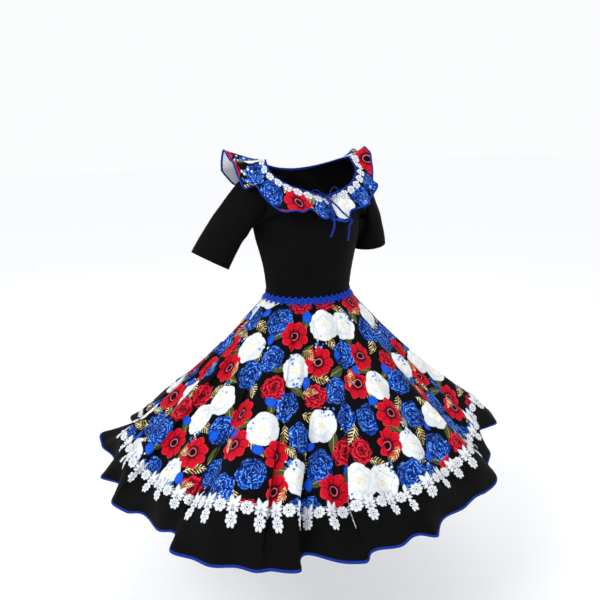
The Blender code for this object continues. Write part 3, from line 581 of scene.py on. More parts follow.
def grown(piece: Piece, tree: bpy.types.NodeTree, values: dict[str, Any]) -> bpy.types.Mesh:
    """Runs a geometry tree on a piece and returns the plain mesh that it makes.

    Args:
        piece: the piece that feeds the tree.
        tree: the tree.
        values: the value of each named input.

    Returns:
        The new mesh. The piece is removed.
    """
    modifier = piece.modifiers.new("grow", "NODES")
    modifier.node_group = tree
    sockets = {s.name: s.identifier for s in tree.interface.items_tree if s.in_out == "INPUT"}
    for label, value in values.items():
        modifier[sockets[label]] = value
    graph = bpy.context.evaluated_depsgraph_get()
    mesh = bpy.data.meshes.new_from_object(piece.evaluated_get(graph))
    piece.modifiers.remove(modifier)
    bpy.data.objects.remove(piece, do_unlink=True)
    finish = mesh.materials[-1]
    mesh.materials.clear()
    mesh.materials.append(finish)
    mesh.polygons.foreach_set("material_index", np.zeros(len(mesh.polygons), np.int32))
    return mesh


def loose(name: str, points: Any, edges: Any = (), faces: Any = ()) -> Piece:
    """Adds an object that isn't a piece of the dress, such as one that a geometry tree starts from.

    Args:
        name: its name.
        points: its points, in metres.
        edges: its edges, as rows of point numbers.
        faces: its faces, as rows of point numbers.

    Returns:
        The object.
    """
    mesh = bpy.data.meshes.new(name)
    mesh.from_pydata(np.asarray(points, float).tolist(), list(edges), list(faces))
    return linked(name, mesh)


def started(name: str, values: dict[str, Any]) -> tuple[Finish, bpy.types.NodeTree, Any]:
    """Starts a material and sets what is the same all over on the shader's own sockets.

    Args:
        name: the material's name.
        values: the value of each of the shader's inputs that is set.

    Returns:
        The material, its tree and its shader.
    """
    finish = bpy.data.materials.new(name)
    finish.use_nodes = True
    shader = finish.node_tree.nodes["Principled BSDF"]
    for key, value in values.items():
        shader.inputs[key].default_value = value
    return finish, finish.node_tree, shader


# A wave texture draws this many bands where its scale says one.
WAVES_A_CYCLE = 20.0


@dataclass(frozen=True)
class ClothFinish:
    """A cloth or thread of one colour.

    Attributes:
        name: what it is.
        colour: its colour as sRGB hex.
        pale: the colour of its lighter threads.
        roughness: how matt it is.
        sheen: how much its fibres catch grazing light.
        thread_mm: the spacing of its threads, as coarse as it needs to show.
        weave: how they cross.
        relief: how far the threads stand out, in millimetres.
        gloss: how much of the light it mirrors.
        groove_shade: the painted shade colour on a lace's low parts, at its pads' edges and between them,
            where it has any.
        fuzz: how widely its fibres spread that light.
    """

    name: str
    colour: str
    pale: str
    roughness: float
    sheen: float
    thread_mm: float
    weave: Weave
    relief: float
    gloss: float = 0.3
    groove_shade: str = ""
    fuzz: float = 0.45

    def make(self) -> Finish:
        """Builds the material, once.

        Returns:
            The material.
        """
        found = bpy.data.materials.get(self.name)
        if found:
            return found
        values = {"Roughness": self.roughness, "Sheen Weight": self.sheen}
        values |= {"Sheen Roughness": self.fuzz, "Specular IOR Level": self.gloss}
        finish, tree, shader = started(self.name, values)
        place = node(tree, "ShaderNodeTexCoord", out="Object")
        cycles = 1000.0 / self.thread_mm
        if self.weave is Weave.CREPE:
            grain = node(tree, "ShaderNodeTexNoise", {"Vector": place, "Scale": cycles, "Detail": 2.0})
        else:
            turned = node(tree, "ShaderNodeMapping", {"Vector": place, "Rotation": (0.6, 0.5, 0.8)})
            thread = {"Vector": turned, "Scale": cycles / WAVES_A_CYCLE, "Distortion": 0.6, "Detail": 1.0}
            ways = ("X", "Y") if self.weave is Weave.PLAIN else ("X", "X")
            bands = [node(tree, "ShaderNodeTexWave", thread, out="Fac", bands_direction=way) for way in ways]
            grain = node(tree, "ShaderNodeMath", *bands, operation="MULTIPLY")
        worn = node(tree, "ShaderNodeTexNoise", {"Vector": place, "Scale": 14.0, "Detail": 3.0})
        mixed = node(tree, "ShaderNodeMath", grain, worn, operation="MULTIPLY")
        colours = {0: mixed, 6: linear(self.colour), 7: linear(self.pale)}
        tint = node(tree, "ShaderNodeMix", colours, out=2, data_type="RGBA")
        # Painted shade: the lace's low parts, at the edges of its pads and between them, go towards the shade
        # colour.
        if self.groove_shade:
            raised = node(tree, "ShaderNodeAttribute", out="Fac", attribute_name=RAISED)
            height = node(tree, "ShaderNodeMapRange", {"Value": raised, "From Max": 0.7})
            colours = {0: height, 6: linear(self.groove_shade), 7: tint}
            tint = node(tree, "ShaderNodeMix", colours, out=2, data_type="RGBA")
        tree.links.new(tint, shader.inputs["Base Color"])
        wanted = {"Height": grain, "Distance": self.relief / 1000.0, "Strength": 0.6}
        tree.links.new(node(tree, "ShaderNodeBump", wanted), shader.inputs["Normal"])
        return finish


# The threads of all these cloths are 0.2 to 0.4 mm apart, so they are drawn two or three times as coarse.
# Matt black crepe, woven from hard-twisted yarn: a fine pebbled grain and almost no shine.
CREPE = ClothFinish("matt_black_crepe", "#040405", "#0c0c0e", 0.82, 0.0, 0.7, Weave.CREPE, 0.12, gloss=0.08)
# White cotton guipure, stitched on a ground that is washed away: dense thread, soft and chalky, with grey
# painted shade low between its raised pads.
GUIPURE = ClothFinish(
    "white_cotton_guipure", "#dde1e6", "#f6f7f9", 0.80, 0.05, 0.8, Weave.CREPE, 0.20, groove_shade="#98a0ae"
)
# Blue bias tape, a plain cotton weave cut on the cross and pressed in half: matt, with diagonal threads.
BIAS = ClothFinish("blue_bias_tape", "#0a2b8a", "#1747b2", 0.62, 0.0, 0.9, Weave.PLAIN, 0.08, gloss=0.12)
# Blue guipure braid, the same stitched thread as the white but dyed, with dark painted shade low between its
# raised pads.
BRAID = ClothFinish(
    "blue_guipure_braid", "#0a32ae", "#1c5ae0", 0.65, 0.0, 0.9, Weave.CREPE, 0.20, gloss=0.1, groove_shade="#07184f"
)
# Blue satin ribbon: long floats of thread that shine along its length.
RIBBON = ClothFinish("blue_satin_ribbon", "#0a267c", "#153aa0", 0.36, 0.0, 0.8, Weave.SATIN, 0.03, gloss=0.15)
# White wrong side of the printed cloth: plain weave with a faint grey show-through of the ink.
WRONG_SIDE = ClothFinish("print_wrong_side", "#dfe2e6", "#f4f5f6", 0.75, 0.05, 0.9, Weave.PLAIN, 0.05)
# Polyester sewing thread, blue and black, a little glossier than the cloth.
BLUE_THREAD = ClothFinish("blue_thread", "#0d2a86", "#1c49b4", 0.50, 0.0, 0.9, Weave.SATIN, 0.02)
BLACK_THREAD = ClothFinish("black_thread", "#141416", "#232327", 0.50, 0.0, 0.9, Weave.SATIN, 0.02)


class Motif(Enum):
    """What the cloth is printed with, in the order that it is laid on the black ground."""

    LEAF = "leaf"
    SPRIG = "sprig"
    ROSE = "rose"
    PEONY = "peony"
    GARDENIA = "gardenia"
    ANEMONE = "anemone"
    BUD = "bud"
    CLUSTER = "cluster"
    TOP_SPRIG = "top_sprig"


# How the print repeats, in centimetres: a square chart of flowers, given one by one.
REPEAT_CM = 44.0
CHART: dict[Motif, Sequence[tuple]] = {
    # motif: rows of (x, y, degrees turned, radius) in centimetres
    Motif.LEAF: (
        (8.5, 8.5, 20, 3.4), (17.5, 8.5, 130, 3.2), (27, 8, 60, 3.4), (41, 9, 160, 3.2),
        (5.5, 17.5, 100, 3.2), (23, 17.5, 30, 3.2), (33, 17, 150, 3.2), (9.5, 26.5, 70, 3.4),
        (27.5, 26.5, 10, 3.2), (36.5, 26, 120, 3.2), (14, 35, 40, 3.2), (34.5, 35, 100, 3.4),
    ),
    Motif.SPRIG: (
        (8.8, 0.2, 70, 3.3), (18.6, 42.6, 120, 3.2), (35, 8.8, 30, 3.3), (14.3, 16.8, 100, 3.2),
        (41.5, 17.4, 60, 3.2), (18.5, 26.2, 150, 3.4), (4.6, 26.8, 20, 3.2), (24, 34, 80, 3.3),
        (42.2, 35, 120, 3.3), (28.8, 43.6, 45, 3.2),
    ),
    Motif.ROSE: (
        (21.6, 6, 10, 4.5), (39.2, 3.6, 70, 4.2), (1.6, 13.4, 130, 4.3), (15.2, 22.2, 200, 4.5),
        (22.4, 21.2, 40, 4.1), (29.2, 30.4, 260, 4.4), (5, 38.8, 300, 4.3), (23.2, 39.8, 20, 4.2),
        (40.6, 40, 160, 4.2),
    ),
    Motif.PEONY: (
        (32.2, 4.6, 0, 3.9), (19.6, 12.8, 50, 3.9), (44, 30.4, 110, 3.9), (37.2, 31.6, 200, 3.9),
    ),
    Motif.GARDENIA: (
        (12.6, 3.8, 20, 5), (28, 13.8, 80, 5), (4.8, 22, 140, 4.9), (41.2, 22.8, 10, 5),
        (18.6, 30.4, 60, 5), (32, 40.2, 110, 4.9),
    ),
    Motif.ANEMONE: (
        (4.2, 4.8, 10, 4.5), (8.8, 12.6, 30, 4.4), (36.2, 13.4, 0, 4.5), (31.4, 23.4, 20, 4.5),
        (10.4, 31.2, 40, 4.5), (13.8, 39.4, 15, 4.6),
    ),
    Motif.BUD: (
        (17.4, 9.4, 60, 1.8), (30.6, 9.2, 120, 1.7), (5.2, 8.6, 20, 1.6), (37, 26.8, 80, 1.8),
        (9, 43.4, 40, 1.7), (24.6, 27.4, 100, 1.8), (43, 13.6, 150, 1.7), (27.6, 36.2, 30, 1.6),
    ),
    Motif.CLUSTER: (
        (11.6, 6, 0, 2.8), (28.8, 16.8, 0, 2.9), (7.2, 24.8, 0, 2.8), (21, 26.4, 0, 3),
        (39.4, 37, 0, 2.8), (38.2, 18.6, 0, 2.6), (17.6, 35, 0, 2.6), (27, 9.6, 0, 2.5),
        (34.6, 43, 0, 2.6),
    ),
    Motif.TOP_SPRIG: (
        (2.4, 6.8, 100, 2.7), (34, 16, 60, 2.7), (11.8, 28.4, 140, 2.7), (31, 6.2, 20, 2.6),
        (18.6, 37.4, 70, 2.6),
    ),
}


class Painter:
    """Paints one layer over another in a material's tree.

    In the drawings of the motifs lengths are shares of the motif's own radius, petals are counted round its
    middle, and the scales of what is cloudy are in cycles a metre of cloth.
    """

    def __init__(self, tree: bpy.types.NodeTree, place: Socket, ground: str) -> None:
        """Starts from plain cloth.

        Args:
            tree: the material's tree.
            place: where a point lies on the flat cloth, in metres.
            ground: the colour that the cloth starts from.
        """
        self.tree = tree
        self.place = place
        shake = node(tree, "ShaderNodeTexNoise", {"Vector": place, "Scale": 34.0, "Detail": 1.5}, out="Color")
        moved = {"Vector": shake, "Scale": (0.011, 0.011, 0.0), "Location": (-0.0055, -0.0055, 0.0)}
        by_hand = node(tree, "ShaderNodeMapping", moved)
        self.drawn = node(tree, "ShaderNodeVectorMath", place, by_hand, operation="ADD")
        self.ground: Any = linear(ground)
        self.x: Any = None
        self.y: Any = None
        self.radius: Any = None
        self.turn: Any = None

    def worked(self, operation: str, *terms: Any) -> Socket:
        """Works out an operation on its terms, each a value or a tuple of an operation and its own terms."""
        settled = [self.worked(*term) if isinstance(term, tuple) else term for term in terms]
        return node(self.tree, "ShaderNodeMath", *settled, operation=operation)

    def gone(self, value: Any, low: float, high: float) -> Socket:
        """Tells how far a value or a formula has gone from low to high, as a smooth 0 to 1.

        Args:
            value: the value or the formula.
            low: where the share is 0.
            high: where it is 1.

        Returns:
            The share.
        """
        value = self.worked(*value) if isinstance(value, tuple) else value
        ranges = {"Value": value, 1: min(low, high), 2: max(low, high)}
        ranges |= {3: 0.0, 4: 1.0} if low < high else {3: 1.0, 4: 0.0}
        return node(self.tree, "ShaderNodeMapRange", ranges, interpolation_type="SMOOTHSTEP")

    def mixed(self, share: Any, low: Any, high: Any) -> Socket:
        """Mixes two colours, each a socket or sRGB hex."""
        ends = [linear(c) if isinstance(c, str) else c for c in (low, high)]
        return node(self.tree, "ShaderNodeMix", {0: share, 6: ends[0], 7: ends[1]}, out=2, data_type="RGBA")

    def cloudy(self, cycles: float, detail: float = 2.0) -> Socket:
        """Gives an uneven value from 0 to 1, in cycles a metre."""
        wanted = {"Vector": self.place, "Scale": cycles, "Detail": detail}
        return node(self.tree, "ShaderNodeTexNoise", wanted, noise_dimensions="2D")

    def petals(self, count: int, shift: float = 0.0) -> Socket:
        """Gives 0 on the lines between petals and 1 down the middle of each."""
        counted = ("MULTIPLY_ADD", self.turn, float(count), shift)
        return self.worked("MULTIPLY", ("PINGPONG", counted, 0.5), 2.0)

    def take(self, motif: Motif) -> None:
        """Finds the nearest motif of a kind and measures from its middle in its own radius.

        Args:
            motif: the kind of motif.
        """
        half = REPEAT_CM / 200.0
        ends = (half, half, 1.0), (-half, -half, -1.0)
        best = length = None
        for x, y, degrees, radius in CHART[motif]:
            middle = (x / 100, y / 100, 0.0)
            off = node(self.tree, "ShaderNodeVectorMath", self.drawn, middle, operation="SUBTRACT")
            near = node(self.tree, "ShaderNodeVectorMath", off, *ends, operation="WRAP")
            grow = 100.0 / radius
            turn = (0.0, 0.0, math.radians(degrees))
            turned = {"Vector": near, "Rotation": turn, "Scale": (grow, grow, 1.0)}
            own = node(self.tree, "ShaderNodeMapping", turned)
            far = node(self.tree, "ShaderNodeVectorMath", own, operation="LENGTH", out=1)
            if best is None:
                best, length = own, far
                continue
            closer = self.worked("LESS_THAN", far, length)
            best = node(self.tree, "ShaderNodeMix", {0: closer, 4: best, 5: own}, out=1, data_type="VECTOR")
            length = self.worked("MINIMUM", far, length)
        parts = node(self.tree, "ShaderNodeSeparateXYZ", best).node
        self.x, self.y = parts.outputs[0], parts.outputs[1]
        self.radius = length
        self.turn = self.worked("DIVIDE", ("ARCTAN2", self.y, self.x), 2 * math.pi)

    def lay(self, colour: Any, mask: Any) -> None:
        """Lays a colour over what is painted so far."""
        self.ground = self.mixed(mask, self.ground, colour)

    def leaf(self) -> None:
        """Paints dark olive leaves with a pale midrib and side veins."""
        across = self.worked("ABSOLUTE", self.y)
        width = ("MULTIPLY_ADD", ("MULTIPLY", self.x, self.x), -0.42, 0.42)
        room = self.worked("SUBTRACT", width, across)
        veins = self.worked("PINGPONG", ("MULTIPLY", ("SUBTRACT", self.x, across), 7.0), 0.5)
        green = self.mixed(self.gone(veins, 0.0, 0.5), "#5d6433", "#1f2a16")
        self.lay(self.mixed(self.gone(across, 0.05, 0.01), green, "#9a9a5c"), self.gone(room, 0.0, 0.03))

    def sprig(self) -> None:
        """Paints a stem of fine needles in gold and cream."""
        bend = self.worked("MULTIPLY_ADD", ("MULTIPLY", self.x, self.x), 0.22, self.y)
        across = self.worked("ABSOLUTE", ("SUBTRACT", bend, 0.10))
        along = self.worked("MULTIPLY", ("SUBTRACT", self.x, ("MULTIPLY", across, 0.9)), 3.6)
        needle = self.gone(("PINGPONG", along, 0.5), 0.26, 0.16)
        width = ("MULTIPLY_ADD", ("MULTIPLY", self.x, self.x), -0.48, 0.48)
        room = self.gone(("SUBTRACT", width, across), 0.0, 0.05)
        inked = self.worked("MULTIPLY", ("MAXIMUM", needle, self.gone(across, 0.05, 0.03)), room)
        tone = self.mixed(self.gone(self.cloudy(60.0), 0.35, 0.65), "#8f7434", "#f0e3b4")
        self.lay(tone, inked)

    def rose(self) -> None:
        """Paints blue roses whose ruffled petals wind inwards, with pale broken rims."""
        rough, fine = self.cloudy(60.0), self.cloudy(190.0)
        wound = self.worked("MULTIPLY_ADD", rough, 0.62, ("MULTIPLY_ADD", fine, 0.16, self.radius))
        steps = self.worked("FRACT", ("SUBTRACT", ("MULTIPLY", wound, 3.9), self.turn))
        edge = self.worked("MULTIPLY_ADD", ("POWER", self.petals(6), 0.5), 0.16, 0.84)
        blue = self.mixed(self.gone(steps, 0.05, 0.55), "#020c3c", "#0b3db4")
        blue = self.mixed(self.gone(steps, 0.50, 0.95), blue, "#2f8cf6")
        rim = self.worked("MULTIPLY", self.gone(steps, 0.80, 0.95), self.gone(fine, 0.42, 0.58))
        blue = self.mixed(rim, blue, "#b4d4fb")
        split = self.worked("MULTIPLY", self.petals(5, 0.3), self.radius)
        blue = self.mixed(self.gone(split, 0.12, 0.0), blue, "#031650")
        away = self.worked("MULTIPLY", self.gone(("MULTIPLY_ADD", rough, 0.6, self.x), 0.15, 1.05), 0.60)
        blue = self.mixed(away, blue, "#04164f")
        self.lay(blue, self.gone(("SUBTRACT", edge, self.radius), 0.0, 0.03))

    def peony(self) -> None:
        """Paints red peonies, ruffled and dark in their folds."""
        rough, fine = self.cloudy(75.0, 3.0), self.cloudy(210.0)
        ruffled = self.worked("MULTIPLY_ADD", rough, 0.60, ("MULTIPLY_ADD", fine, 0.14, self.radius))
        steps = self.worked("FRACT", ("MULTIPLY_ADD", self.petals(7), 0.30, ("MULTIPLY", ruffled, 3.3)))
        edge = self.worked("MULTIPLY_ADD", ("POWER", self.petals(8, 0.2), 0.6), 0.18, 0.80)
        red = self.mixed(self.gone(steps, 0.05, 0.55), "#24020a", "#ab081e")
        red = self.mixed(self.gone(steps, 0.45, 0.95), red, "#ea2c42")
        red = self.mixed(self.gone(self.radius, 0.30, 0.05), red, "#430611")
        self.lay(red, self.gone(("SUBTRACT", edge, self.radius), 0.0, 0.03))

    def gardenia(self) -> None:
        """Paints white gardenias with faint grey folds and gold specks in the middle."""
        outer, inner = self.petals(6), self.petals(5, 0.35)
        edge = self.worked("MULTIPLY_ADD", ("POWER", outer, 0.5), 0.11, 0.86)
        fold = self.worked("MULTIPLY_ADD", ("POWER", inner, 0.5), 0.14, 0.44)
        soft = self.mixed(self.gone(self.cloudy(40.0), 0.30, 0.70), "#e3e7e8", "#f8f9f6")
        shade = self.gone(("MULTIPLY_ADD", self.cloudy(30.0), 0.8, self.x), 0.2, 1.3)
        away = self.worked("MULTIPLY", shade, 0.6)
        soft = self.mixed(away, soft, "#c3cbd0")
        seam = self.worked("MULTIPLY", self.gone(("MULTIPLY", outer, self.radius), 0.08, 0.0), 0.35)
        white = self.mixed(seam, soft, "#b9c0ca")
        past = self.worked("SUBTRACT", self.radius, fold)
        shadow = self.worked("MULTIPLY", self.gone(past, 0.14, 0.0), self.gone(past, -0.02, 0.0))
        white = self.mixed(self.worked("MULTIPLY", shadow, 0.45), white, "#b3bac5")
        rim = self.worked("SUBTRACT", edge, self.radius)
        white = self.mixed(self.worked("MULTIPLY", self.gone(rim, 0.10, 0.0), 0.5), white, "#b9c2cf")
        white = self.mixed(self.gone(self.radius, 0.34, 0.08), white, "#f4ecd4")
        dots = node(self.tree, "ShaderNodeTexVoronoi", {"Vector": self.place, "Scale": 300.0})
        fleck = self.worked("MULTIPLY", self.gone(dots, 0.36, 0.24), self.gone(self.radius, 0.24, 0.14))
        white = self.mixed(fleck, white, "#a87a22")
        self.lay(white, self.gone(rim, 0.0, 0.03))

    def anemone(self) -> None:
        """Paints red anemones: round petals, a dark halo, a pink ring and a black middle."""
        gap = self.petals(8)
        edge = self.worked("MULTIPLY_ADD", ("POWER", gap, 0.38), 0.29, 0.72)
        uneven = self.worked("MULTIPLY_ADD", self.cloudy(35.0), 0.16, ("SUBTRACT", edge, 0.08))
        polar = node(self.tree, "ShaderNodeCombineXYZ", self.turn, self.radius)
        wanted = {"Vector": polar, "Scale": 26.0}
        streaks = node(self.tree, "ShaderNodeTexNoise", wanted, noise_dimensions="2D")
        red = self.mixed(self.gone(streaks, 0.30, 0.70), "#a80319", "#e0142e")
        red = self.mixed(self.gone(("MULTIPLY", gap, self.radius), 0.12, 0.0), red, "#4a020d")
        rim = self.worked("SUBTRACT", uneven, self.radius)
        red = self.mixed(self.worked("MULTIPLY", self.gone(rim, 0.14, 0.0), 0.40), red, "#fb4154")
        red = self.mixed(self.gone(self.radius, 0.56, 0.30), red, "#2e030b")
        inside, outside = self.gone(self.radius, 0.19, 0.22), self.gone(self.radius, 0.29, 0.25)
        ring = self.worked("MULTIPLY", inside, outside)
        red = self.mixed(self.worked("MULTIPLY", ring, 0.9), red, "#d9647c")
        red = self.mixed(self.gone(self.radius, 0.20, 0.17), red, "#0c0306")
        self.lay(red, self.gone(rim, 0.0, 0.03))

    def bud(self) -> None:
        """Paints round buds in a strong blue with a few darker lines."""
        wide = self.worked("MULTIPLY", self.y, 1.30)
        far = self.worked("SQRT", ("ADD", ("MULTIPLY", self.x, self.x), ("MULTIPLY", wide, wide)))
        lines = self.gone(("PINGPONG", ("MULTIPLY_ADD", self.radius, 1.6, self.y), 0.5), 0.0, 0.16)
        blue = self.mixed(lines, "#08309a", "#155bdc")
        self.lay(self.mixed(self.gone(far, 0.70, 1.0), blue, "#0a2f94"), self.gone(far, 1.0, 0.94))

    def cluster(self) -> None:
        """Paints a handful of tiny blue blossoms and white berries."""
        cells = node(self.tree, "ShaderNodeTexVoronoi", {"Vector": self.place, "Scale": 105.0}).node
        size = self.gone(cells.outputs["Distance"], 0.46, 0.36)
        room = self.gone(("ADD", self.radius, ("MULTIPLY", self.cloudy(45.0), 0.5)), 1.12, 1.00)
        pick = node(self.tree, "ShaderNodeSeparateXYZ", cells.outputs["Color"])
        tone = self.mixed(self.worked("GREATER_THAN", pick, 0.62), "#3d82ee", "#e6eee2")
        tone = self.mixed(self.gone(cells.outputs["Distance"], 0.14, 0.08), tone, "#f2e7a4")
        self.lay(tone, self.worked("MULTIPLY", size, room))


@dataclass(frozen=True)
class FloralPrint:
    """Black cloth printed with flowers on its right side.

    Attributes:
        name: what it is.
        ground: the colour of the cloth between the flowers.
        roughness: how matt it is.
        sheen: how much its fibres catch grazing light.
        relief: how far its threads stand out, in millimetres.
        gloss: how much of the light it mirrors.
        threads: how many threads it has in a metre.
    """

    name: str
    ground: str
    roughness: float
    sheen: float
    relief: float
    gloss: float = 0.07
    threads: float = 1100.0

    def make(self) -> Finish:
        """Builds the material, once for all the pieces cut from this cloth.

        Returns:
            The material.
        """
        found = bpy.data.materials.get(self.name)
        if found:
            return found
        values = {"Roughness": self.roughness, "Sheen Weight": self.sheen, "Specular IOR Level": self.gloss}
        finish, tree, shader = started(self.name, values)
        place = node(tree, "ShaderNodeAttribute", out="Vector", attribute_name=CUT_MAP)
        painter = Painter(tree, place, self.ground)
        for motif in Motif:
            painter.take(motif)
            getattr(painter, motif.value.removeprefix("top_"))()
        tree.links.new(painter.ground, shader.inputs["Base Color"])
        threads = painter.cloudy(self.threads, 1.0)
        wanted = {"Height": threads, "Distance": self.relief / 1000.0, "Strength": 0.5}
        tree.links.new(node(tree, "ShaderNodeBump", wanted), shader.inputs["Normal"])
        return finish


# Cotton cloth printed in red, white and blue flowers on black: smooth, matt, with a fine even thread. The
# print is drawn on the flat cloth in metres, so each panel shows it as it would be cut.
FLORAL = FloralPrint("floral_print_cloth", "#050609", 0.75, 0.0, 0.04)


@dataclass
class Bodice:
    """The crepe bodice: a front and a back panel, fitted, with their side and shoulder seams.

    Attributes:
        waist_z: height of the waist seam.
        waist_half_width: half the waist's width.
        waist_depths: how far the waist stands from the middle, front and back.
        roundness: how far each panel crowns between its seams.
        bust: depth, x, z and spread of the front's fullness.
        cloth: the crepe's thickness.
        neck_spans: quads along half the neck and along an armhole.
        side_spans: quads up a side seam.
        across_spans: quads from the middle to a side seam.
        flat: the width and length of a panel's cut.
        back_pull: how deep the back's pulls are beside the front's.
    """

    waist_z: float = -0.382
    waist_half_width: float = 0.126
    waist_depths: dict[Face, float] = field(default_factory=lambda: {Face.FRONT: 0.100, Face.BACK: 0.090})
    roundness: float = 0.012
    bust: tuple[float, float, float, float] = (0.014, 0.075, -0.205, 0.050)
    cloth: float = 0.0009
    neck_spans: int = 36
    side_spans: int = 30
    across_spans: int = 36
    flat: tuple[float, float] = (0.46, 0.42)
    back_pull: float = 0.8

    def __post_init__(self) -> None:
        """Lays out the two panels."""
        self.points: dict[Face, Array] = {}
        self.quads: dict[Face, Array] = {}
        self.halves: dict[Face, dict[int, Array]] = {}
        self.normals: dict[Face, Array] = {}
        for face in Face:
            self.lay_out(face)

    def half(self, face: Face) -> Array:
        """Works out one half of a panel.

        Args:
            face: front or back.

        Returns:
            Points in rows from the waist up and columns from the middle out to the side.
        """
        facing = -1.0 if face is Face.FRONT else 1.0
        across = self.across_spans + 1
        turn = np.linspace(0.0, math.pi / 2, across)
        depth = facing * self.waist_depths[face] * np.cos(turn)
        wide = self.waist_half_width * np.sin(turn)
        bottom = np.stack([wide, depth, np.full(across, self.waist_z)], axis=-1)
        shares = np.linspace(0, 1, self.side_spans + 1)
        middle = through([(0.0, y, z) for y, z in CENTRE_LINES[face]], shares)
        table = NECKLINES[face]
        whole_neck = [(-x, y, z) for x, y, z in table[:0:-1]] + list(table)
        neck = through(whole_neck, np.linspace(0.5, 1, self.neck_spans + 1))
        seam = through(SIDE_SEAM, shares)
        armhole = through(ARMHOLES[face], np.linspace(0, 1, self.neck_spans + 1))
        centre = np.concatenate([middle, neck[1:]])
        outside = np.concatenate([seam, armhole[1:]])
        top = np.linspace(centre[-1], outside[-1], across)
        u = np.linspace(0, 1, across)[None, :, None]
        v = np.linspace(0, 1, len(centre))[:, None, None]
        grid = (
            (1 - v) * bottom[None]
            + v * top[None]
            + (1 - u) * centre[:, None]
            + u * outside[:, None]
            - (1 - u) * (1 - v) * bottom[0]
            - u * (1 - v) * bottom[-1]
            - (1 - u) * v * top[0]
            - u * v * top[-1]
        )
        crown = np.sin(math.pi * u[..., 0]) * np.sin(math.pi * np.minimum(v[..., 0] * 1.1, 1.0))
        crown *= self.roundness
        grid[..., 1] += facing * crown
        grid[..., 0] += 0.5 * crown
        if face is Face.FRONT:
            deep, x, z, spread = self.bust
            away = ((grid[..., 0] - x) ** 2 + (grid[..., 2] - z) ** 2) / (2 * spread**2)
            grid[..., 1] -= deep * np.exp(-away) * (1 - u[..., 0]) ** 0.5
        return grid

    def lay_out(self, face: Face) -> None:
        """Joins two mirrored halves of a panel along their middle line below the neck.

        Args:
            face: front or back.
        """
        half = self.half(face)
        rows, columns = half.shape[:2]
        own = np.arange(rows * columns).reshape(rows, columns)
        other = own + rows * columns
        other[: self.side_spans + 1, 0] = own[: self.side_spans + 1, 0]
        self.halves[face] = {1: own, -1: other}
        self.points[face] = np.concatenate([half, half * [-1.0, 1.0, 1.0]]).reshape(-1, 3)
        quads = []
        for side, spots in self.halves[face].items():
            a, b = spots[:-1, :-1].ravel(), spots[:-1, 1:].ravel()
            d, e = spots[1:, :-1].ravel(), spots[1:, 1:].ravel()
            turned = (side > 0) == (face is Face.FRONT)
            quads.append(np.stack([a, b, e, d] if turned else [a, d, e, b], axis=-1))
        self.quads[face] = np.concatenate(quads)
        self.normals[face] = point_normals(self.points[face], self.quads[face])

    def waist_depth(self, degrees: Array) -> Array:
        """Gives how far the waist stands from the middle, in degrees from the front."""
        ahead = np.cos(np.radians(degrees)) > 0
        return np.where(ahead, self.waist_depths[Face.FRONT], self.waist_depths[Face.BACK])

    def neck_edge(self, values: dict[Face, Array]) -> Array:
        """Follows the neck edge anticlockwise from above, starting at the middle of the back.

        Args:
            values: what to read along it, one for each panel point.

        Returns:
            The values along it.
        """
        lines = {}
        for face in Face:
            right = values[face][self.halves[face][-1][self.side_spans + 1 :, 0]][::-1]
            left = values[face][self.halves[face][1][self.side_spans :, 0]]
            lines[face] = np.concatenate([right, left])
        front, back = lines[Face.FRONT], lines[Face.BACK][::-1]
        return np.concatenate([back[self.neck_spans :], front[1:], back[1 : self.neck_spans]])

    def armhole(self, side: int, values: dict[Face, Array]) -> Array:
        """Follows an armhole from the underarm up the front to the shoulder and down the back.

        Args:
            side: 1 for the wearer's left and -1 for the right.
            values: what to read along it, one for each panel point.

        Returns:
            The values along it.
        """
        front = values[Face.FRONT][self.halves[Face.FRONT][side][self.side_spans :, -1]]
        back = values[Face.BACK][self.halves[Face.BACK][side][self.side_spans :, -1]]
        return np.concatenate([front, back[-2:0:-1]])

    def creased(self, face: Face) -> Array:
        """Adds the soft pulls that a fitted bodice has under the arms and over the waist.

        Args:
            face: front or back.

        Returns:
            The panel's points, moved along their normals.
        """
        points, normals = self.points[face], self.normals[face]
        x, z = points[:, 0], points[:, 2]
        share = 1.0 if face is Face.FRONT else self.back_pull
        move = np.zeros(len(points))
        for cx, cz, tilt, long, pitch, deep in BODICE_PULLS:
            along = (x - cx) * math.cos(tilt) + (z - cz) * math.sin(tilt)
            over = -(x - cx) * math.sin(tilt) + (z - cz) * math.cos(tilt)
            fade = np.exp(-((along / long) ** 2) - (over / (1.4 * pitch)) ** 2)
            move += share * deep * fade * np.cos(2 * math.pi * over / pitch)
        return points + normals * (move - SET_BACK)[:, None]

    def build(self) -> list[Piece]:
        """Sews the two panels.

        Returns:
            The front and the back.
        """
        finish = CREPE.make()
        made = []
        for face in Face:
            outer = self.creased(face)
            for side in (1, -1):
                rim = self.halves[face][side]
                for line in (rim[:, -1], rim[-1], rim[0]):
                    outer[line] = self.points[face][line]
            inner = outer - self.normals[face] * self.cloth
            name = f"bodice_{face.value}_crepe"
            panel = cloth_wall(name, outer, inner, self.quads[face], [finish])
            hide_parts(f"bodice_{face.value}")
            made.append(panel)
        return made


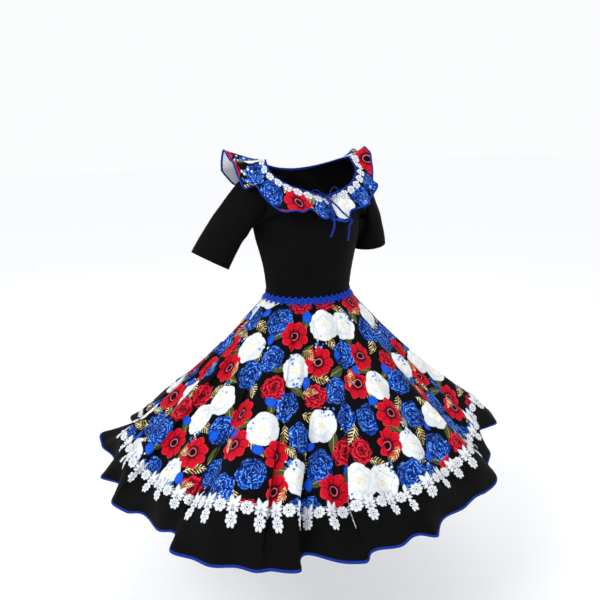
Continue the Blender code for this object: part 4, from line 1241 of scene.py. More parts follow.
@dataclass
class Sleeve:
    """A set-in sleeve that ends just above the elbow in a plain stitched hem.

    Attributes:
        name: which sleeve.
        side: 1 for the wearer's left and -1 for the right.
        cuff: the middle of the cuff.
        radius: the cuff's radius.
        leaving: how it leaves the armhole, sideways and down.
        creases: rows of (share down, degrees round, tilt, depth).
        spans: quads down its length.
        cloth: the crepe's thickness.
        hem: how deep the turned hem is.
        layers: how thick the turned hem is, in thicknesses of cloth.
        head: the middle of the armhole, on the wearer's left.
        flat: the width and length of its cut.
        bead: the radius of its armhole seam, and how deep that is sunk.
    """

    name: str
    side: int
    cuff: tuple[float, float, float]
    radius: float
    leaving: tuple[float, float]
    creases: Sequence[tuple]
    spans: int = 40
    cloth: float = 0.0009
    hem: float = 0.018
    layers: float = 1.9
    head: tuple[float, float, float] = (0.185, 0.0, -0.060)
    flat: tuple[float, float] = (0.42, 0.27)
    bead: tuple[float, float] = (0.0009, 0.0005)

    def surface(self, armhole: Array) -> Array:
        """Lofts the sleeve from the armhole to the cuff.

        Args:
            armhole: the armhole's points, starting at the underarm.

        Returns:
            Rows of points from the armhole down.
        """
        sideways, down = self.leaving
        turn = np.linspace(0, 2 * math.pi, len(armhole), endpoint=False)
        cuff = np.array(self.cuff)
        axis = unit(cuff - np.array(self.head) * [self.side, 1, 1])
        toward_front = unit(np.array([0.0, -1.0, 0.0]) + axis * axis[1])
        toward_body = unit(np.cross(axis, toward_front))
        if toward_body[0] * self.side > 0:
            toward_body = -toward_body
        cosine, sine = np.cos(turn)[:, None], np.sin(turn)[:, None]
        end = cuff + self.radius * (cosine * toward_body + sine * toward_front)
        under = (1 + np.cos(turn)) / 2
        leaving = [self.side * (sideways + 0.4 * under), np.zeros(len(turn)), down - 0.1 * under]
        out = unit(np.stack(leaving, axis=-1))
        reach = np.linalg.norm(end - armhole, axis=-1, keepdims=True)
        rows = []
        for t in np.linspace(0, 1, self.spans + 1):
            a, b, c, d = weights(t)
            rows.append(a * armhole + b * out * reach * 0.75 + c * end + d * axis * reach * 0.9)
        return np.array(rows)[:, :: self.side]

    def build(self, bodice: Bodice) -> list[Piece]:
        """Sets the sleeve into its armhole and stitches its hem.

        Args:
            bodice: the bodice that it is set into.

        Returns:
            The sleeve, its seam and its stitching.
        """
        armhole = bodice.armhole(self.side, bodice.points)
        grid = self.surface(armhole)
        normals = grid_normals(grid, True)
        down = np.linspace(0, 1, self.spans + 1)[:, None]
        around = np.linspace(0, 360, grid.shape[1], endpoint=False)[None, :]
        move = np.full(grid.shape[:2], -SET_BACK)
        for share, degrees, tilt, deep in self.creases:
            off = (around - degrees + 180) % 360 - 180
            across = (down - share) * 6.0 + tilt * off / 60.0
            fade = np.exp(-((off / 55.0) ** 2)) * np.exp(-(across**2) / 1.2)
            move += deep * fade * np.cos(3.0 * across)
        move *= np.minimum(1.0, np.minimum(down, 1 - down) * 8.0)
        outer = grid + normals * move[..., None]
        inner = outer - normals * self.cloth
        length = lengths_along(outer[:, 0])
        turned = length > length[-1] - self.hem
        inner[turned] = outer[turned] - normals[turned] * self.cloth * self.layers
        quads = grid_quads(*grid.shape[:2], True)
        sleeve = cloth_wall(f"{self.name}_crepe", outer, inner, quads, [CREPE.make()])
        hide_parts(self.name)
        row = int(np.argmax(turned))
        stitches = StitchRow(f"{self.name}_hem_stitches", pitch=0.0032, length=0.0022, width=0.00035)
        sewn = stitches.build(outer[row] + normals[row] * 0.0002, True, BLACK_THREAD.make())
        facing = bodice.armhole(self.side, bodice.normals)[:: self.side]
        rise = unit(facing + normals[0])
        turns = np.linspace(0, 2 * math.pi, 9)[:-1]
        thick, sunk = self.bead
        bead = [(thick * math.sin(t), thick * math.cos(t) - sunk) for t in turns]
        fall = unit(grid[1] - grid[0])
        seam = swept_ring(f"{self.name}_armhole_seam", grid[0], rise, fall, bead, CREPE.make())
        return [sleeve, sewn, seam]


@dataclass
class StitchRow:
    """A row of machine stitches along a line.

    Attributes:
        name: the row's name.
        pitch: from one stitch to the next.
        length: of a stitch.
        width: of a stitch.
    """

    name: str
    pitch: float
    length: float
    width: float

    def tree(self) -> bpy.types.NodeTree:
        """Builds the tree that lays stitches along a line.

        Returns:
            The tree.
        """
        found = bpy.data.node_groups.get("stitches_along_line")
        if found:
            return found
        kinds = {"Pitch": "NodeSocketFloat", "Size": "NodeSocketVector", "Thread": "NodeSocketMaterial"}
        tree, enter, leave = tree_with("stitches_along_line", kinds)
        line = node(tree, "GeometryNodeMeshToCurve", enter.outputs["Geometry"])
        spaced = {"Curve": line, "Length": enter.outputs["Pitch"]}
        places = node(tree, "GeometryNodeCurveToPoints", spaced, out="Points", mode="LENGTH")
        stitch = node(tree, "GeometryNodeMeshUVSphere", {"Segments": 6, "Rings": 4, "Radius": 0.5})
        wanted = {"Points": places, "Instance": stitch, "Scale": enter.outputs["Size"]}
        wanted["Rotation"] = places.node.outputs["Rotation"]
        row = node(tree, "GeometryNodeInstanceOnPoints", wanted)
        real = node(tree, "GeometryNodeRealizeInstances", row)
        sewn = node(tree, "GeometryNodeSetMaterial", {"Geometry": real, "Material": enter.outputs["Thread"]})
        tree.links.new(sewn, leave.inputs["Geometry"])
        return tree

    def build(self, line: Array, closed: bool, thread: Finish) -> Piece:
        """Sews the row.

        Args:
            line: the points that it follows.
            closed: whether it comes back to its start.
            thread: its material.

        Returns:
            The stitches, as one piece.
        """
        edges = [(k, k + 1) for k in range(len(line) - 1)]
        if closed:
            edges.append((len(line) - 1, 0))
        guide = loose(f"{self.name}_line", line, edges)
        size = (self.width, self.width, self.length)
        mesh = grown(guide, self.tree(), {"Pitch": self.pitch, "Size": size, "Thread": thread})
        mesh.name = self.name
        mesh.shade_smooth()
        piece = linked(self.name, mesh)
        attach(piece, ROOT)
        return piece


def tape_profile(height: float, half: float) -> list[tuple[float, float]]:
    """Shapes a tape folded over an edge.

    Args:
        height: how far it reaches past the edge.
        half: half its thickness.

    Returns:
        Rows of (down, out) round the fold.
    """
    outside = [(-0.0004, 0.75), (0.0010, 1.0), (height * 0.75, 1.0), (height * 0.93, 0.72), (height, 0.30)]
    rows = [(down, half * off) for down, off in outside]
    return rows + [(down, -off) for down, off in reversed(rows)]


@dataclass(frozen=True)
class EdgeBinding:
    """Blue bias tape folded over a cloth's free edge and stitched down.

    Attributes:
        name: the solid that it stands for.
        height: how far it reaches past the edge.
        seam: how far past the edge it is stitched.
        pitch: from one stitch to the next.
        stitch: how long a stitch is.
        thread: how wide a stitch is.
        thick: the folded tape's thickness.
        proud: how far the stitches stand off it.
    """

    name: str
    height: float
    seam: float
    pitch: float
    stitch: float
    thread: float = 0.0004
    thick: float = 0.0027
    proud: float = 0.0001

    def build(self, middle: Array, out: Array, fall: Array) -> list[Piece]:
        """Binds an edge.

        Args:
            middle: the points in the middle of the fold.
            out: the way out of the cloth at each.
            fall: the way past the edge at each.

        Returns:
            The tape and its stitches.
        """
        profile = tape_profile(self.height, self.thick / 2)
        tape = swept_ring(f"{self.name}_tape", middle, out, fall, profile, BIAS.make())
        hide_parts(self.name)
        line = middle + fall * self.seam + out * (self.thick / 2 + self.proud)
        stitches = StitchRow(f"{self.name}_stitches", self.pitch, self.stitch, self.thread)
        sewn = stitches.build(line, True, BLUE_THREAD.make())
        return [tape, sewn]


@dataclass
class Skirt:
    """The flared print skirt in two panels, with its black flounce and the flounce's blue binding.

    Attributes:
        bodice: the bodice that it hangs from.
        columns: quads round the skirt.
        rows: quads down the skirt.
        flounce_rows: quads down the flounce.
        lace_ring: z, radius, x and y of the ring at the lace.
        hem_ring: z, radius, x and y of the ring at the hem.
        lifts: how far the lace ring and the hem ring rise towards the wearer's left.
        lift_angle: the way in which they rise, in degrees from the front.
        sag: how far the skirt hangs in below a straight line.
        swell: how far the flounce bows out.
        unevenness: how deep the skirt's smallest hollows are.
        gathers: how deep the flounce's gathers are, and how many go round.
        ripples: the same of its ripples.
        crease_fall: a crease's cross-section, as pairs of degrees off its line and shares of its depth.
        crease_lean: how far its cloth leans over, as pairs of degrees off its line and shares of its depth.
        cloth: the cloth's thickness.
        apex: the radius of the flat cut at the waist.
        shift: where the back panel lies on the print, from where the front one does.
        rounding: how many times the turns of the hem's waves are rounded.
        flounce_cut: the length of the flounce's cut, from the seam to the hem.
        binding: the tape on the hem.
    """

    bodice: Bodice
    columns: int = 1008
    rows: int = 40
    flounce_rows: int = 12
    lace_ring: tuple[float, float, float, float] = (-0.766, 0.520, -0.035, -0.022)
    hem_ring: tuple[float, float, float, float] = (-0.862, 0.596, -0.008, 0.010)
    lifts: tuple[float, float] = (0.020, 0.024)
    lift_angle: float = 75.0
    sag: float = 0.015
    swell: float = 0.004
    unevenness: float = 0.0010
    gathers: tuple[float, int] = (0.0014, 61)
    ripples: tuple[float, int] = (0.0055, 29)
    crease_fall: tuple = (
        (-6, 0), (-2.5, -0.06), (-0.9, 0), (-0.45, 0.5), (0, 1), (1.2, 0.8), (2.8, 0.35), (6, 0)
    )
    crease_lean: tuple = (
        (-6, 0), (-2.5, 0.3), (-0.9, 0.75), (-0.3, 0.1), (0.3, -0.45), (1.5, -0.3), (5, 0)
    )
    cloth: float = 0.0004
    apex: float = 0.135
    shift: tuple[float, float, float] = (0.11, 0.17, 0.0)
    rounding: int = 30
    flounce_cut: float = 0.13
    binding: EdgeBinding = EdgeBinding(
        "hem_binding", height=0.007, seam=0.0012, pitch=0.0034, stitch=0.0023
    )

    def __post_init__(self) -> None:
        """Works out the skirt's and flounce's right sides."""
        self.degrees = self.spread_columns()
        self.skirt = self.skirt_surface(np.linspace(0, 1, self.rows + 1))
        self.flounce = self.flounce_surface(np.linspace(0, 1, self.flounce_rows + 1))
        self.skirt_out = grid_normals(self.skirt, True)
        self.flounce_out = grid_normals(self.flounce, True)
        self.skirt_out[-1] = unit(self.skirt_out[-1] + self.flounce_out[0])
        self.flounce_out[0] = self.skirt_out[-1]

    def spread_columns(self) -> Array:
        """Spaces the columns round the skirt, closer together at the creases, with one at each side seam.

        Returns:
            Where each column lies, in degrees from the front.
        """
        fine = np.linspace(-180.0, 180.0, 7201)
        weight = np.ones_like(fine)
        for at, *_ in SKIRT_CREASES:
            weight += 3.0 * np.exp(-((((fine - at + 180) % 360 - 180) / 1.6) ** 2))
        quarter = self.columns // 4
        spread = []
        for start in (-180, -90, 0, 90):
            here = (fine >= start) & (fine <= start + 90)
            walked = np.cumsum(weight[here])
            walked = (walked - walked[0]) / (walked[-1] - walked[0])
            spread.append(np.interp(np.arange(quarter) / quarter, walked, fine[here]))
        return np.concatenate(spread)

    def skirt_surface(self, shares: Array) -> Array:
        """Hangs the skirt from the waist to the lace.

        Args:
            shares: shares of its length below the waist.

        Returns:
            Rows of points, one for each share.
        """
        bodice = self.bodice
        z, radius, x, y = self.lace_ring
        side_seams = [(-90, 0, 1), (90, 0, 1)]
        lines = np.array([row[:3] for row in SKIRT_CREASES] + side_seams)
        lines = lines[np.argsort(lines[:, 0])]
        grid = []
        for s in shares:
            moved = lines[:, 1] * (1 - s) ** lines[:, 2]
            degrees = self.degrees + np.interp(self.degrees, lines[:, 0], moved, period=360)
            turn = np.radians(degrees)
            depth = bodice.waist_depth(degrees)
            waist = level_ring(degrees, (0.0, 0.0), bodice.waist_half_width, depth, bodice.waist_z)
            lace = level_ring(degrees, (x, y), radius, radius, z)
            out, up = round_table(SKIRT_FOLDS, degrees).T
            lace[:, 2] += self.lifts[0] * np.cos(np.radians(degrees - self.lift_angle)) + up
            sideways = np.stack([np.cos(turn), np.sin(turn), np.zeros_like(turn)], axis=-1)
            normal = unit(np.cross(unit(lace - waist), sideways))
            small = self.unevenness * s * np.sin(np.radians(degrees * 23 + 70 * s))
            small = small * np.sin(np.radians(degrees * 3 + 20))
            move = out * s**1.15 - self.sag * math.sin(math.pi * s) + small - SET_BACK * s
            lean = np.zeros_like(move)
            for at, _, _, deep, side in SKIRT_CREASES:
                off = ((self.degrees - at + 180) % 360 - 180) * -side
                deep *= (0.10 + 0.90 * s) * min(1.0, 12 * s)
                move = move - deep * np.interp(off, *zip(*self.crease_fall))
                lean = lean - side * deep * np.interp(off, *zip(*self.crease_lean))
            grid.append(waist * (1 - s) + lace * s + normal * move[:, None] + sideways * lean[:, None])
        return np.array(grid)

    def flounce_surface(self, shares: Array) -> Array:
        """Hangs the flounce from the skirt's seam to the hem.

        Args:
            shares: shares of its length below the seam.

        Returns:
            Rows of points, one for each share.
        """
        out, up, along = eased(round_table(FLOUNCE_WAVES, self.degrees), self.rounding).T
        moved = self.degrees + along
        turn = np.radians(moved)
        z, radius, x, y = self.hem_ring
        hem = level_ring(moved, (x, y), radius + out, radius + out, z)
        hem[:, 2] += self.lifts[1] * np.cos(np.radians(moved - self.lift_angle)) + up
        outward = unit(np.stack([np.sin(turn), -np.cos(turn), np.full_like(turn, 0.6)], axis=-1))
        seam = self.skirt[-1]
        wander = 50 * np.sin(np.radians(self.degrees * 4))
        gathers = np.sin(np.radians(self.degrees * self.gathers[1]))
        ripples = np.sin(np.radians(self.degrees * self.ripples[1] + wander))
        grid = []
        for s in shares:
            bend = s * s * 0.40 + s * 0.60
            gather = self.gathers[0] * math.sin(math.pi * min(1.0, 2.2 * s)) * gathers
            ripple = self.ripples[0] * s**1.5 * ripples
            bow = self.swell * math.sin(math.pi * s) + gather + ripple
            grid.append(seam * (1 - bend) + hem * bend + outward * np.asarray(bow)[:, None])
        return np.array(grid)

    def flat_cut(self, picked: Array) -> Array:
        """Lays a skirt panel flat, as a part of a circle.

        Args:
            picked: the panel's columns.

        Returns:
            Where each point lies on the flat cloth, with z as zero.
        """
        panel = self.skirt[:, picked]
        steps = np.linalg.norm(np.diff(panel, axis=0), axis=-1).mean(axis=1)
        radius = self.apex + np.concatenate([[0.0], np.cumsum(steps)])
        walked = np.cumsum(np.linalg.norm(np.diff(panel, axis=1), axis=-1), axis=1)
        walked = np.concatenate([np.zeros((len(panel), 1)), walked], axis=1)
        turn = (walked / walked[:, -1:] - 0.5) * walked[-1, -1] / radius[-1]
        x = radius[:, None] * np.sin(turn)
        y = -radius[:, None] * np.cos(turn)
        return np.stack([x, y, np.zeros_like(x)], axis=-1)

    def build(self) -> list[Piece]:
        """Sews skirt, flounce and hem binding.

        Returns:
            The panels, the tape and its stitches.
        """
        made = []
        panels = panels_of(self.columns)
        print_cloth, white = FLORAL.make(), WRONG_SIDE.make()
        inside = self.skirt - self.skirt_out * self.cloth
        under = self.flounce - self.flounce_out * self.cloth
        for face, picked in panels.items():
            cut = self.flat_cut(picked)
            if face is Face.BACK:
                cut = cut + np.array(self.shift)
            name = f"skirt_{face.value}_print"
            outer, inner = self.skirt[:, picked], inside[:, picked]
            quads = grid_quads(*outer.shape[:2], False)
            panel = cloth_wall(name, outer, inner, quads, [print_cloth, white], cut)
            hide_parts(f"skirt_{face.value}")
            made.append(panel)
        fall = unit(self.flounce[-1] - self.flounce[-2])
        middle = self.flounce[-1] - self.flounce_out[-1] * HALF_WALL + fall * EDGE_GAP
        bound = self.binding.build(middle, self.flounce_out[-1], fall)
        for face, picked in panels.items():
            outer = np.concatenate([self.flounce, [self.flounce[-1] + fall * TUCK]])[:, picked]
            inner = np.concatenate([under, [under[-1] + fall * TUCK]])[:, picked]
            name = f"flounce_{face.value}_crepe"
            panel = cloth_wall(name, outer, inner, grid_quads(*outer.shape[:2], False), [CREPE.make()])
            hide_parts(f"flounce_{face.value}")
            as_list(bound if face is Face.FRONT else [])
            made.append(panel)
        return made + bound

    def place(self, columns: Array, below: Array, off: Array) -> Array:
        """Puts points on the skirt or the flounce, near the seam between them.

        Args:
            columns: how far round, in columns.
            below: metres under the seam.
            off: metres out of the cloth.

        Returns:
            The points.
        """
        step = np.linalg.norm(self.skirt[-1] - self.skirt[-2], axis=-1).mean()
        drop = np.linalg.norm(self.flounce[1] - self.flounce[0], axis=-1).mean()
        up_rows = self.rows + np.minimum(below, 0.0) / step
        down_rows = np.maximum(below, 0.0) / drop
        above = (below <= 0)[:, None]
        spot, out = (
            np.where(above, read_grid(upper, up_rows, columns), read_grid(lower, down_rows, columns))
            for upper, lower in ((self.skirt, self.flounce), (self.skirt_out, self.flounce_out))
        )
        return spot + unit(out) * off[:, None]


@dataclass
class LaceDrawing:
    """One repeat of a lace, drawn flat: x along, y up, z out, in metres.

    Attributes:
        name: the lace's name.
        rise: how far its stitched pads stand out.
    """

    name: str
    rise: float
    points: list[tuple] = field(default_factory=list)
    faces: list[list[int]] = field(default_factory=list)

    def pad(self, outline: Array, rise: float = 1.0) -> None:
        """Adds a domed pad of stitches with a flat back.

        Args:
            outline: its edge, anticlockwise.
            rise: its share of the lace's rise.
        """
        start, count = len(self.points), len(outline)
        centre = outline.mean(axis=0)
        for scale, share in ((1.0, 0.0), (0.86, 0.62), (0.42, 1.0)):
            for spot in centre + (outline - centre) * scale:
                self.points.append((spot[0], spot[1], self.rise * rise * share))
        ring = list(range(start, start + count))
        self.faces.append(ring[::-1])
        for step in (0, count):
            for k in range(count):
                a, b = ring[k] + step, ring[(k + 1) % count] + step
                self.faces.append([a, b, b + count, a + count])
        self.faces.append([k + 2 * count for k in ring])

    def leaf(self, root: tuple, degrees: float, size: tuple, blunt: float = 0.0, rise: float = 1.0) -> None:
        """Adds a leaf or a petal.

        Args:
            root: where it starts.
            degrees: the way in which it points.
            size: its length and half its width.
            blunt: 0 for a pointed leaf and 1 for a round petal.
            rise: its share of the lace's rise.
        """
        length, half = size
        sides = [(0.0, 0.22), (0.30, 0.80), (0.62, 0.86 + 0.14 * blunt), (0.88, 0.36 + 0.36 * blunt)]
        across = [(t, -w) for t, w in sides] + [(1.0, 0.0)] + [(t, w) for t, w in reversed(sides)]
        turn = math.radians(degrees)
        cosine, sine = math.cos(turn), math.sin(turn)
        spots = []
        for t, w in across:
            x, y = t * length, w * half
            spots.append((root[0] + x * cosine - y * sine, root[1] + x * sine + y * cosine))
        self.pad(np.array(spots), rise)

    def flower(
        self, centre: tuple, radius: float, petals: int, turned: float = 0.0, tall: float = 1.0
    ) -> None:
        """Adds a flower: petals round a stitched ring.

        Args:
            centre: its middle.
            radius: how far its petals reach.
            petals: how many there are.
            turned: where the first one points, in degrees.
            tall: how much longer it is upwards than along.
        """
        inner = radius * 0.30
        half = radius * math.sin(math.pi / petals) * 0.80
        for k in range(petals):
            degrees = turned + 360.0 * k / petals
            turn = math.radians(degrees)
            reach = radius * (1 + (tall - 1) * abs(math.sin(turn)))
            root = (centre[0] + inner * math.cos(turn), centre[1] + inner * math.sin(turn))
            self.leaf(root, degrees, (reach - inner, half), blunt=1.0, rise=0.85)
        self.ring(centre, radius * 0.24, radius * 0.11)

    def ring(self, centre: tuple, radius: float, thick: float, sides: int = 10) -> None:
        """Adds a raised round of cord with an open middle.

        Args:
            centre: its middle.
            radius: how far out the middle of the cord runs.
            thick: half the cord's width.
            sides: how many sides it has.
        """
        start = len(self.points)
        for k in range(sides):
            turn = 2 * math.pi * k / sides
            for off, share in ((-1.0, 0.1), (1.0, 0.1), (0.6, 1.15), (-0.6, 1.15)):
                reach = radius + off * thick
                x, y = centre[0] + reach * math.cos(turn), centre[1] + reach * math.sin(turn)
                self.points.append((x, y, self.rise * share))
        for k in range(sides):
            a, b = start + 4 * k, start + 4 * ((k + 1) % sides)
            for c in range(4):
                d = (c + 1) % 4
                self.faces.append([a + c, b + c, b + d, a + d][::-1])

    def bar(self, start: tuple, end: tuple, half: float, rise: float = 0.6) -> None:
        """Adds a straight bar of stitches between two spots.

        Args:
            start: one spot.
            end: the other.
            half: half its width.
            rise: its share of the lace's rise.
        """
        a, b = np.array(start), np.array(end)
        along = unit(b - a)
        side = np.array([-along[1], along[0]]) * half
        self.pad(np.array([a - side, b - side, b + along * half, b + side, a + side, a - along * half]), rise)

    def repeated(self, count: int, pitch: float, finish: Finish) -> bpy.types.Mesh:
        """Repeats the drawing along a straight line.

        Args:
            count: how many repeats.
            pitch: from one to the next.
            finish: its material.

        Returns:
            The flat lace.
        """
        tree = bpy.data.node_groups.get("repeat_along_line")
        if tree is None:
            kinds = {"Count": "NodeSocketInt", "Pitch": "NodeSocketFloat", "Thread": "NodeSocketMaterial"}
            tree, enter, leave = tree_with("repeat_along_line", kinds)
            offset = node(tree, "ShaderNodeCombineXYZ", {"X": enter.outputs["Pitch"]})
            line = node(tree, "GeometryNodeMeshLine", {"Count": enter.outputs["Count"], "Offset": offset})
            motif = enter.outputs["Geometry"]
            laid = node(tree, "GeometryNodeInstanceOnPoints", {"Points": line, "Instance": motif})
            real = node(tree, "GeometryNodeRealizeInstances", laid)
            sewn = {"Geometry": real, "Material": enter.outputs["Thread"]}
            done = node(tree, "GeometryNodeSetMaterial", sewn)
            tree.links.new(done, leave.inputs["Geometry"])
        motif = loose(f"{self.name}_motif", self.points, faces=self.faces)
        return grown(motif, tree, {"Count": count, "Pitch": pitch, "Thread": finish})


@dataclass
class Trim:
    """A lace or a braid: one drawing, repeated round the dress.

    Attributes:
        repeats: how many repeats go round.
        pitch: how long a repeat is.
        rise: how thick its stitched pads are.
    """

    repeats: int
    pitch: float
    rise: float

    def drawing(self) -> LaceDrawing:
        """Draws one repeat."""
        raise NotImplementedError

    def along(self, ring: Array, x: Array) -> Array:
        """Turns lengths along the flat trim to column places on a ring.

        Args:
            ring: the ring's points.
            x: lengths along the trim, where 0 is the middle of the first repeat.

        Returns:
            Column places, which may have fractions.
        """
        walked = lengths_along(np.concatenate([ring, ring, ring[:1]]))
        gone = (x / self.pitch + 0.5) % self.repeats * walked[len(ring)] / self.repeats
        return np.interp(gone, walked, np.arange(len(walked)))

    def laid(self, solid: str, slot: str, finish: Finish, place: Any) -> Piece:
        """Stitches the trim flat and bends it onto the cloth.

        Args:
            solid: the solid that it stands for.
            slot: not used.
            finish: its material.
            place: a function from flat points to points on the cloth.

        Returns:
            The trim, as one piece.
        """
        mesh = self.drawing().repeated(self.repeats, self.pitch, finish)
        flat = np.empty(len(mesh.vertices) * 3)
        mesh.vertices.foreach_get("co", flat)
        faces = [list(face.vertices) for face in mesh.polygons]
        flat = flat.reshape(-1, 3)
        trim = add_piece(f"{solid}_guipure", place(flat), faces, [finish])
        # The pads' height, which the finish reads to paint shade on the lace's low parts.
        raised = trim.data.attributes.new(RAISED, "FLOAT", "POINT")
        raised.data.foreach_set("value", np.clip(flat[:, 2] / flat[:, 2].max(), 0.0, 1.0))
        bpy.data.meshes.remove(mesh)
        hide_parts(solid)
        return trim


@dataclass
class SkirtLace(Trim):
    """The white guipure over the skirt's seam: leafy fans, a band of flowers and a drop under each fan.

    Attributes:
        lift: how far it stands off the skirt, and how much further its drops do.
    """

    repeats: int = 56
    pitch: float = 0.064
    rise: float = 0.0013
    lift: tuple[float, float] = (0.0018, 0.0012)

    def drawing(self) -> LaceDrawing:
        """Draws one repeat: a fan of leaves with a drop under it, and a round flower beside it.

        Returns:
            The drawing.
        """
        lace = LaceDrawing("skirt_lace", self.rise)
        half = self.pitch / 2
        for side in (-1, 1):
            lace.leaf((side * 0.0020, 0.0010), 90 - side * 21, (0.0275, 0.0070))
            lace.leaf((side * 0.0020, 0.0000), 90 - side * 68, (0.0170, 0.0052), rise=0.85)
            lace.leaf((side * 0.0016, -0.0015), 270 + side * 54, (0.0165, 0.0054), rise=0.85)
            lace.bar((side * 0.0120, -0.0030), (side * (half - 0.0120), -0.0030), 0.0009)
            lace.bar((side * 0.0090, 0.0120), (side * (half - 0.0080), 0.0085), 0.0009)
        lace.leaf((0.0, 0.0030), 90, (0.0150, 0.0030), rise=0.8)
        lace.bar((0.0, 0.0030), (0.0, -0.0160), 0.0014)
        lace.flower((0.0, -0.0245), 0.0136, 8, 22.5, tall=1.18)
        lace.flower((half, 0.0000), 0.0156, 8, 22.5)
        return lace

    def build(self, skirt: Skirt) -> list[Piece]:
        """Lays the lace over the seam between skirt and flounce.

        Args:
            skirt: the skirt with its flounce.

        Returns:
            The lace.
        """

        def place(spots: Array) -> Array:
            """Lays flat points on the skirt, the drops a little further off it.

            Args:
                spots: the flat points.

            Returns:
                The points on the cloth.
            """
            columns = self.along(skirt.skirt[-1], spots[:, 0])
            in_drop = np.clip((-spots[:, 1] - 0.014) / 0.01, 0.0, 1.0)
            lifted = self.lift[0] + self.lift[1] * in_drop
            return skirt.place(columns, -spots[:, 1], spots[:, 2] + lifted)

        return [self.laid("skirt_lace", "guipure", GUIPURE.make(), place)]


@dataclass
class Frill:
    """The neck frill of print cloth, in a front and a back piece, with its blue binding.

    Attributes:
        finer: quads between one point of the bodice's neck edge and the next.
        lift: how far its root stands off the bodice.
        root: how far out its root starts.
        clear: the least gap to the bodice and sleeves.
        cloth: the cloth's thickness.
        fullness: how much longer its cut is than the line it lies along.
        measured: the row that this line follows.
        strip_width: the width of its cut.
        binding: the tape on its edge.
        shift: where the print's pattern starts on it, along and across.
        rounding: how many times the turns of its edge are rounded.
        shares: how far out its rows of quads lie.
    """

    finer: int = 4
    lift: float = 0.0009
    root: float = 0.0012
    clear: float = 0.003
    cloth: float = 0.0009
    fullness: float = 1.15
    measured: int = 9
    strip_width: float = 0.09
    binding: EdgeBinding = EdgeBinding(
        "frill_binding", height=0.005, seam=0.0010, pitch=0.0032, stitch=0.0022
    )
    shift: tuple[float, float] = (0.0, 0.438)
    rounding: int = 14
    shares: Array = field(
        default_factory=lambda: np.concatenate([np.linspace(0, 0.25, 6), np.linspace(0.32, 1.0, 11)])
    )

    def lay(self, bodice: Bodice, worn: BVHTree) -> None:
        """Works out the frill's underside and its right side.

        Args:
            bodice: the bodice that it is gathered into.
            worn: what it lies on.
        """
        edge = bodice.neck_edge(bodice.points)
        steps = np.linspace(0, 1, self.finer + 1)[:-1]
        following = np.roll(edge, -1, axis=0)
        edge = np.stack([edge * (1 - t) + following * t for t in steps], axis=1).reshape(-1, 3)
        x, y = edge[:, 0] / NECK_HALF_WIDTH, -edge[:, 1] / bodice.waist_depths[Face.FRONT]
        degrees = np.degrees(np.arctan2(x, y))
        row = eased(round_table(FRILL_FALL, degrees), self.rounding)
        out, self.width = unit(row[:, :3]), row[:, 3:4]
        along = unit(np.roll(edge, -1, axis=0) - np.roll(edge, 1, axis=0))
        up = unit(np.cross(out, along))
        wave = eased(round_table(FRILL_WAVES, degrees), self.rounding)
        root = edge + up * self.lift + out * self.root
        gathers = np.sin(np.radians(degrees * 34)) * (1 + 0.5 * np.sin(np.radians(degrees * 5 + 40)))
        rows = []
        for s in self.shares:
            small = 0.0008 * math.sin(math.pi * min(1.0, s * 1.6)) * gathers
            rows.append(root + out * self.width * s + up * (self.width * wave * s**1.4 + small[:, None]))
        grid = np.array(rows)
        for k in range(1, len(grid)):
            grid[k] = clear_of(grid[k], worn, self.clear)
        self.out = grid_normals(grid, True)
        self.under = grid + self.out * 0.0003
        self.outer = self.under + self.out * self.cloth

    def flat_cut(self) -> Array:
        """Lays the frill flat, as a straight strip.

        Returns:
            Where each point lies on the flat cloth, with z as zero.
        """
        line = self.outer[self.measured]
        walked = lengths_along(np.concatenate([line, line[:1]]))[:-1]
        x = np.broadcast_to(walked * self.fullness + self.shift[0], self.outer.shape[:2])
        y = self.shift[1] - self.shares[:, None] * self.width[:, 0][None, :]
        return np.stack([x, y, np.zeros_like(x)], axis=-1)

    def build(self) -> list[Piece]:
        """Sews the frill and its binding.

        Returns:
            The front, the back, the tape and its stitches.
        """
        print_cloth, white = FLORAL.make(), WRONG_SIDE.make()
        fall = unit(self.under[-1] - self.under[-2])
        middle = (self.outer[-1] + self.under[-1]) / 2 + fall * EDGE_GAP
        bound = self.binding.build(middle, self.out[-1], fall)
        outer = np.concatenate([self.outer, [self.outer[-1] + fall * TUCK]])
        inner = np.concatenate([self.under, [self.under[-1] + fall * TUCK]])
        cut = self.flat_cut()
        cut = np.concatenate([cut, [cut[-1] + np.array([0.0, -TUCK, 0.0])]])
        columns = outer.shape[1]
        once = lengths_along(self.outer[self.measured])[-1] * self.fullness
        made = []
        for face, picked in panels_of(columns).items():
            own_cut = cut[:, picked].copy()
            own_cut[:, picked < columns // 4, 0] += once
            name = f"frill_{face.value}_print"
            quads = grid_quads(*own_cut.shape[:2], False)
            panel = cloth_wall(name, outer[:, picked], inner[:, picked], quads, [print_cloth, white], own_cut)
            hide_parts(f"frill_{face.value}")
            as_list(bound if face is Face.FRONT else [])
            made.append(panel)
        return made + bound


def clear_of(points: Array, surface: BVHTree, margin: float, reach: float = 0.020) -> Array:
    """Moves each point that is nearer to a surface than the margin off it.

    Args:
        points: the points.
        surface: what they are kept clear of.
        margin: the least gap.
        reach: how far away a point may be to be moved.

    Returns:
        The points.
    """
    moved = points.copy()
    for n, place in enumerate(moved):
        near, normal, _, _ = surface.find_nearest(Vector(place))
        off = (Vector(place) - near).dot(normal)
        if off < margin and (Vector(place) - near).length < reach:
            moved[n] += np.array(normal) * (margin - off)
    return moved


